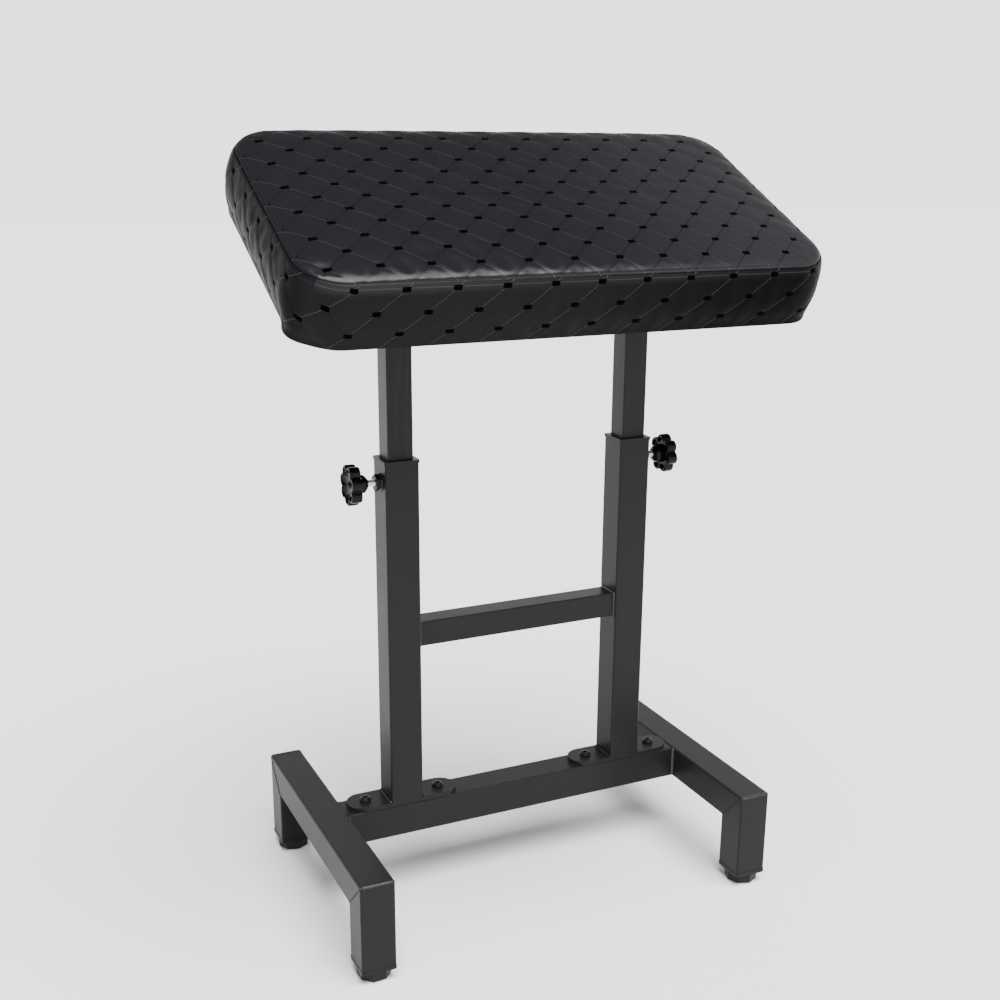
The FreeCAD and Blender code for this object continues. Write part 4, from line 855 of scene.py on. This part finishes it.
for side, sign in (("left", -1), ("right", 1)):
    low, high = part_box(side + "_height_stud")
    addStud(side + "HeightStud", side + "_height_stud", side + "_height_clamp_stud",
            (sign * thread["knobStart"], 0, (low[2] + high[2]) / 2 / mm), (sign, 0, 0), thread["knobLong"])
for row, side in (("front", "left"), ("rear", "left"), ("front", "right"), ("rear", "right")):
    foot = row + "_" + side + "_foot_"
    low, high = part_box(foot + "stud")
    start = ((low[0] + high[0]) / 2 / mm, (low[1] + high[1]) / 2 / mm, low[2] / mm)
    addStud(row + side.capitalize() + "FootStud", foot + "stud", foot + "screw", start, (0, 0, 1),
            (high[2] - low[2]) / mm)
print("stage: studs made")


# Height knobs: seven-lobed shells with a dished face, a hollow back and a stepped hub

knob = {"lobes": 7, "lobeAt": 15.9, "lobeRound": 7.6, "soften": 1.0, "depth": 24.0, "rim": 12.5, "edge": 2.2,
        "lip": 2.6, "lipDrop": 0.12, "dish": 6.0, "dishPower": 3.0, "dishRound": 0.6, "dishRings": 16,
        "dishStart": 0.04, "dishWide": 20.5, "wallDrops": (5.0, 8.0), "wall": 3.2, "hollowRise": 0.6,
        "floor": 15.4, "hub": 10.5, "hubBend": 8.0, "hubSoft": 0.25, "hubEnd": 7.4, "chamferStart": 4.4,
        "collar": 5.6, "collarLong": 1.2, "mouth": 4.3, "bore": 4.02, "boreDepth": 16.3, "soft": 0.3,
        "around": 168, "start": 184.0, "height": 515.0}
# Roundings of the back rim by inset and rise, of the hollow's floor by inset and drop, and of the hub's
# root by flare and drop
knobRounds = {"back": ((0.0, 2.0), (0.2, 1.1), (0.7, 0.35), (1.5, 0.0), (2.4, 0.0), (2.9, 0.15)),
              "hollow": ((0.2, 1.4), (0.6, 0.5), (1.6, 0.0)), "root": ((1.4, 0.0), (0.4, 0.4), (0.0, 1.3))}


def lobedOutline(angle):
    # The soft most of the two nearest lobes, with a lobe at angle zero. A lobe of radius b about a point at
    # distance c from the middle lies at c cos(a) + sqrt(b b - c c sin(a) sin(a)).
    step = 2 * np.pi / knob["lobes"]
    turned = np.abs((angle + step / 2) % step - step / 2)

    def lobe(off):
        return knob["lobeAt"] * np.cos(off) + np.sqrt(np.maximum(0, knob["lobeRound"] ** 2
                                                                 - (knob["lobeAt"] * np.sin(off)) ** 2))
    return knob["soften"] * np.logaddexp(lobe(turned) / knob["soften"], lobe(step - turned) / knob["soften"])


def starKnob(sign):
    # Rings about the stud's axis, from the middle of the outer face: a bowl whose depth is dish (1 - share to
    # a power) to a second power, a round lip, the lobed wall, the hollow back, the hub, its collar and bore.
    angle = np.linspace(0, 2 * np.pi, knob["around"], endpoint=False)
    outline = lobedOutline(angle + (np.pi if sign < 0 else 0))
    circle = 0 * angle + 1
    face, back, base, end = knob["depth"], knob["depth"] - knob["rim"], knob["floor"], knob["collarLong"]
    chamfer, soft = knob["chamferStart"], knob["soft"]
    wall = outline - knob["wall"]
    hub, hubEnd, collar, mouth, bore = [knob[key] * circle
                                        for key in ("hub", "hubEnd", "collar", "mouth", "bore")]
    rings = []
    for share in np.sin(np.linspace(knob["dishStart"], np.pi / 2, knob["dishRings"])):
        lobed = share ** 2 * (outline - knob["lip"]) + (1 - share ** 2) * knob["dishWide"] * circle
        bowl = knob["dish"] * (1 - share ** knob["dishPower"]) ** knob["dishRound"]
        rings.append((share * lobed, face - knob["lipDrop"] - bowl))
    rings += [(outline - knob["edge"] * (1 - math.sin(bend)), face - knob["edge"] * (1 - math.cos(bend)))
              for bend in np.linspace(0, np.pi / 2, 7)]
    rings += [(outline, face - drop) for drop in knob["wallDrops"]]
    rings += [(outline - inset, back + rise) for inset, rise in knobRounds["back"]]
    rings += [(wall, back + knob["hollowRise"])]
    rings += [(wall - inset, base - drop) for inset, drop in knobRounds["hollow"]]
    rings += [(hub + flare, base - drop) for flare, drop in knobRounds["root"]]
    rings += [(hub, knob["hubBend"]), (hub, chamfer + 0.5), (hub - knob["hubSoft"], chamfer),
              (hubEnd, end + soft / 2), (hubEnd - soft, end), (collar + 0.2, end), (collar, end - 0.2),
              (collar, soft), (collar - soft, 0.0), (mouth, 0.0), (bore, soft), (bore, knob["boreDepth"])]
    radius = np.stack([ring for ring, level in rings])
    level = np.array([level for ring, level in rings])[:, None] + 0 * radius
    points = np.stack([sign * (knob["start"] + level), radius * np.sin(angle),
                       knob["height"] + radius * np.cos(angle)], -1)
    return points.reshape(-1, 3) * mm, shellFaces(len(rings), knob["around"])


for side, sign in (("left", -1), ("right", 1)):
    points, faces = starKnob(sign)
    star = addPiece(side + "HeightKnob", points, faces, side + "_height_clamp_knob", "knob_plastic")
    turnOut(star)
    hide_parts(side + "_height_knob")
print("stage: knobs made")


# Base bolts: button heads with hexagon sockets

bolt = {"places": (-195.5, -102.5, 102.5, 195.5), "seat": 126.0, "headRadius": 7.0, "flange": 0.6,
        "height": 4.4, "flat": 3.7, "across": 5.0, "socket": 2.6, "shank": 4.0, "tip": 0.7, "length": 20.0,
        "domeRings": 9, "around": 48, "crease": 50.0}


def buttonBolt(x):
    # Rings about the upright axis: a shank, the head's dome as a quarter ellipse, and a hexagon pocket
    # whose radius is half the width across flats over the cosine of the angle from the nearest flat.
    angle = np.linspace(0, 2 * np.pi, bolt["around"], endpoint=False)
    hexagon = bolt["across"] / 2 / np.cos((angle + math.pi / 6) % (math.pi / 3) - math.pi / 6)
    bend = np.linspace(0, np.pi / 2, bolt["domeRings"])
    domeRadius = bolt["flat"] + (bolt["headRadius"] - bolt["flat"]) * np.cos(bend)
    domeHeight = bolt["flange"] + (bolt["height"] - bolt["flange"]) * np.sin(bend)
    shank, end, top, floor = bolt["shank"], -bolt["length"], bolt["height"], bolt["height"] - bolt["socket"]
    radii = [shank - bolt["tip"], shank, shank, bolt["headRadius"] - 0.2, bolt["headRadius"], *domeRadius,
             hexagon + 0.35, hexagon, hexagon, hexagon * 0.9]
    heights = [end, end + bolt["tip"], 0, 0, 0.25, *domeHeight, top, top - 0.25, floor, floor - 0.3]
    radius = np.stack([value + 0 * angle for value in radii])
    height = np.array(heights)[:, None] + 0 * radius
    points = np.stack([x + radius * np.cos(angle), radius * np.sin(angle), bolt["seat"] + height], -1)
    faces = [face[::-1] for face in shellFaces(len(radii), bolt["around"])]
    return points.reshape(-1, 3) * mm, faces


bolts = addPiece("baseBolts", *gather([buttonBolt(x) for x in bolt["places"]]), "stand_base", "black_steel")
bevelled = bolts.modifiers.new("creases", "EDGE_SPLIT")
bevelled.split_angle = math.radians(bolt["crease"])
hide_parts("base_bolts")
print("stage: bolts made")


# Welds and mitre seams

# How a bead is drawn, then the radii of the beads by their places
weld = {"around": 14, "step": 0.7, "ripple": 2.6, "rippleShare": 0.10, "unevenShare": 0.07, "patch": 6.0,
        "facing": (0.31, 0.52, 0.80), "foot": 2.3, "brace": 2.0, "beam": 3.0, "nut": 1.0, "inner": 2.2,
        "outer": 1.5, "tip": 1.7, "line": 0.55, "flush": 3.2, "flushShare": 0.04}


def bead(corners, radius, closed=False, seed=0):
    # A round section carried along straight runs. Its radius swells once per ripple, wanders a little,
    # and closes to a point at open ends: r (1 + ripple |sin| + uneven noise) * end taper.
    stops = np.array(corners + corners[:1] if closed else corners, float)
    runs = np.linalg.norm(np.diff(stops, axis=0), axis=1)
    travel = np.concatenate([[0], np.cumsum(runs)])
    count = max(6, int(travel[-1] / weld["step"]))
    at = np.linspace(0, travel[-1], count, endpoint=not closed)
    middle = np.stack([np.interp(at, travel, stops[:, axis]) for axis in range(3)], -1)
    ahead = np.roll(middle, -1, 0) - np.roll(middle, 1, 0)
    if not closed:
        ahead[0], ahead[-1] = middle[1] - middle[0], middle[-1] - middle[-2]
    ahead /= np.linalg.norm(ahead, axis=1, keepdims=True)
    spread = np.linalg.svd(middle - middle.mean(0))[2]
    flat = spread[2] if closed else np.array(weld["facing"])
    sideways = np.cross(ahead, flat)
    sideways /= np.linalg.norm(sideways, axis=1, keepdims=True)
    upward = np.cross(ahead, sideways)
    random = np.random.default_rng(seed).normal(size=max(4, int(travel[-1] / weld["patch"])))
    uneven = np.interp(at, np.linspace(0, travel[-1], len(random)), random)
    size = radius * (1 + weld["rippleShare"] * np.abs(np.sin(np.pi * at / weld["ripple"]))
                     + weld["unevenShare"] * uneven * (0 if closed else 1))
    if not closed:
        size = size * np.sqrt(np.clip(np.minimum(at, travel[-1] - at) / radius + 0.02, 0, 1))
    angle = np.linspace(0, 2 * np.pi, weld["around"], endpoint=False)
    points = middle[:, None] + size[:, None, None] * (np.cos(angle)[None, :, None] * sideways[:, None]
                                                      + np.sin(angle)[None, :, None] * upward[:, None])
    if closed:
        index = np.arange(count * weld["around"]).reshape(count, weld["around"])
        index = np.concatenate([index, index[:1]])
        faces = gridFaces(np.column_stack([index, index[:, 0]]))[:, ::-1].tolist()
    else:
        faces = [face[::-1] for face in shellFaces(count, weld["around"])]
    return points.reshape(-1, 3) * mm, faces


def weldPiece(name, beads, material):
    piece = addPiece(name, *gather(beads), "stand_base", "powder_coat", material=material)
    turnOut(piece)


def squareLoop(x, half, middle, cut):
    # Corners of a square with cut corners, upright, facing along x.
    y = [-half + cut, half - cut, half, half, half - cut, -half + cut, -half, -half]
    z = [-half, -half, -half + cut, half - cut, half, half, half - cut, -half + cut]
    return [(x, across, middle + up) for across, up in zip(y, z)]


# Where the tubes meet, by half distances and levels, and where the beads run
joint = {"tube": 20.0, "postX": 149.0, "railX": 243.0, "legY": 155.0, "railTop": 121.0, "railLow": 81.0,
         "plateTop": 126.2, "footRun": 18.6, "footGap": 0.2, "braceX": 129.0, "brace": 15.1, "braceZ": 332.0,
         "braceCut": 2.0, "nutX": 169.2, "nutRound": 9.9, "nutZ": 515.0, "legRun": 18.0, "edgeRun": 18.2,
         "edgeY": 19.1, "edgeDrop": 0.9, "seamRun": 18.5, "flushRun": 18.8, "blobX": 169.6, "blobZ": 126.9,
         "blobLong": 3.0}
bothWays = [(side, way) for side in (-1, 1) for way in (-1, 1)]
tube, railX, legY, railTop, railLow = [joint[key] for key in ("tube", "railX", "legY", "railTop", "railLow")]
beamX = railX - tube


def alongX(middle, y, z, run, place, seed):
    return bead([(middle - run, y, z), (middle + run, y, z)], weld[place], seed=seed)


def alongY(x, z, run, place, seed=0):
    return bead([(x, -run, z), (x, run, z)], weld[place], seed=seed)


nutAngles = np.arange(6) * math.pi / 3 + math.pi / 2
weldPiece("postFootWelds", [alongY(side * joint["postX"] + way * (tube + joint["footGap"]), joint["plateTop"],
                                   joint["footRun"], "foot", 3 + side + 2 * way) for side, way in bothWays],
          dullWeld)
weldPiece("braceWelds", [bead(squareLoop(side * joint["braceX"], joint["brace"], joint["braceZ"],
                                         joint["braceCut"]), weld["brace"], True) for side in (-1, 1)],
          weldFinish)
weldPiece("beamWelds", [bead([(side * beamX, way * tube, railLow + 0.5),
                              (side * beamX, way * tube, railTop - 0.3)],
                             weld["beam"], seed=11 + side + 2 * way) for side, way in bothWays], weldFinish)
weldPiece("clampNutWelds", [bead([(side * joint["nutX"], joint["nutRound"] * math.cos(angle),
                                   joint["nutZ"] + joint["nutRound"] * math.sin(angle))
                                  for angle in nutAngles],
                                 weld["nut"], True) for side in (-1, 1)], weldFinish)
weldPiece("mitreWelds", [alongX(side * railX, way * (legY - tube), railLow, joint["legRun"], "inner",
                                21 + side + 2 * way) for side, way in bothWays], weldFinish)
# Hairlines down both faces of each mitre, and one over the right end of the crossbeam
lines = [bead([(side * railX + edge, way * (legY + 18.6), railTop - 1.4),
               (side * railX + edge, way * (legY - 19.0), railLow + 1.0)], weld["line"], seed=5)
         for side, way in bothWays for edge in (-tube, tube)]
weldPiece("mitreSeams", lines + [alongY(beamX, railTop, joint["seamRun"], "line", 6)], seamFinish)
# Ground edges over each mitre with a blob at one end, and one blob on the left plate
edges = [alongX(side * railX, way * (legY + joint["edgeY"]), railTop - joint["edgeDrop"], joint["edgeRun"],
                "outer", 7) for side, way in bothWays]
edges += [bead([(side * railX - 19.4, way * (legY + 18.7), railTop - 1.2),
                (side * railX - 17.6, way * (legY + 18.9), railTop - 1.0)], weld["tip"])
          for side, way in bothWays]
edges.append(bead([(-joint["blobX"], -tube, joint["blobZ"]),
                   (-joint["blobX"], joint["blobLong"] - tube, joint["blobZ"])], weld["tip"]))
weldPiece("mitreEdges", edges, weldFinish)
# On the left the joint of rail and crossbeam is ground flush: a bead pressed nearly flat
points, faces = alongY(-beamX, railTop, joint["flushRun"], "flush")
points[:, 2] = railTop * mm + (points[:, 2] - railTop * mm) * weld["flushShare"]
turnOut(addPiece("flushWeld", points, faces, "stand_base", "powder_coat"))
print("stage: welds made")


# Camera, floor and light

viewPoint = {"place": (-0.65166, -1.35032, 0.87851), "yaw": 0.4375, "pitch": 0.2926, "roll": 0.00638,
             "focal": 1317.09, "shiftUp": 0.04}  # metres, radians and pixels of a 1000 pixel frame


def makeCamera():
    # The view direction from yaw and pitch, then the frame rolled about it.
    yaw, pitch, tip = viewPoint["yaw"], viewPoint["pitch"], viewPoint["roll"]
    ahead = Vector((math.sin(yaw) * math.cos(pitch), math.cos(yaw) * math.cos(pitch), -math.sin(pitch)))
    right = Vector((math.cos(yaw), -math.sin(yaw), 0))
    up = right.cross(ahead)
    sideways = right * math.cos(tip) + up * math.sin(tip)
    upright = up * math.cos(tip) - right * math.sin(tip)
    data = bpy.data.cameras.new("camera")
    data.sensor_width = 36.0
    data.lens = viewPoint["focal"] * 36.0 / 1000
    data.shift_y = viewPoint["shiftUp"]
    data.clip_start, data.clip_end = 0.01, 80
    camera = bpy.data.objects.new("camera", data)
    turn = Matrix((sideways, upright, -ahead)).transposed()
    camera.matrix_world = Matrix.Translation(Vector(viewPoint["place"])) @ turn.to_4x4()
    bpy.context.scene.collection.objects.link(camera)
    bpy.context.scene.camera = camera


studio = {"horizon": 2.5, "ceiling": 0.12, "bandLow": 0.12, "bandHigh": 0.62, "sun": 7.95, "sunWidth": 46.0,
          "sunFrom": (0.05, -0.33, 0.943), "paper": (0.90, 0.90, 0.90), "fibre": (0.91, 0.91, 0.91),
          "reach": 14.0, "lines": 15, "level": -0.0004}  # reach and level in metres


def makeStudio():
    # A wide soft light from the upper front left, a bright band round the horizon and a dim ceiling.
    data = bpy.data.lights.new("softLight", "SUN")
    data.energy, data.angle = studio["sun"], math.radians(studio["sunWidth"])
    lamp = bpy.data.objects.new("softLight", data)
    lamp.rotation_euler = Vector(studio["sunFrom"]).to_track_quat("Z", "Y").to_euler()
    bpy.context.scene.collection.objects.link(lamp)
    world = bpy.data.worlds.new("studio")
    bpy.context.scene.world = world
    sky = Shader("sky", world)
    height = sky.axes(sky.node("ShaderNodeTexCoord"))[2]
    glow = height.fade(studio["bandLow"], studio["bandHigh"], studio["horizon"], studio["ceiling"])
    sky.finish(Color=(1, 1, 1), Strength=glow)
    paper = Shader("paper")
    fibre = paper.noise(4.0, 3.0)
    paper.finish(Base_Color=paper.mix(fibre, studio["paper"], studio["fibre"]), Roughness=0.9,
                 Specular_IOR_Level=0.1)
    reach = np.linspace(-studio["reach"], studio["reach"], studio["lines"])
    x, y = np.meshgrid(reach, reach, indexing="ij")
    points = np.stack([x, y, 0 * x + studio["level"]], -1).reshape(-1, 3)
    floor = addPiece("floor", points, gridFaces(np.arange(x.size).reshape(x.shape)).tolist(), None, None,
                     material=paper.owner)


makeCamera()
makeStudio()
print("stage: camera, floor and light")
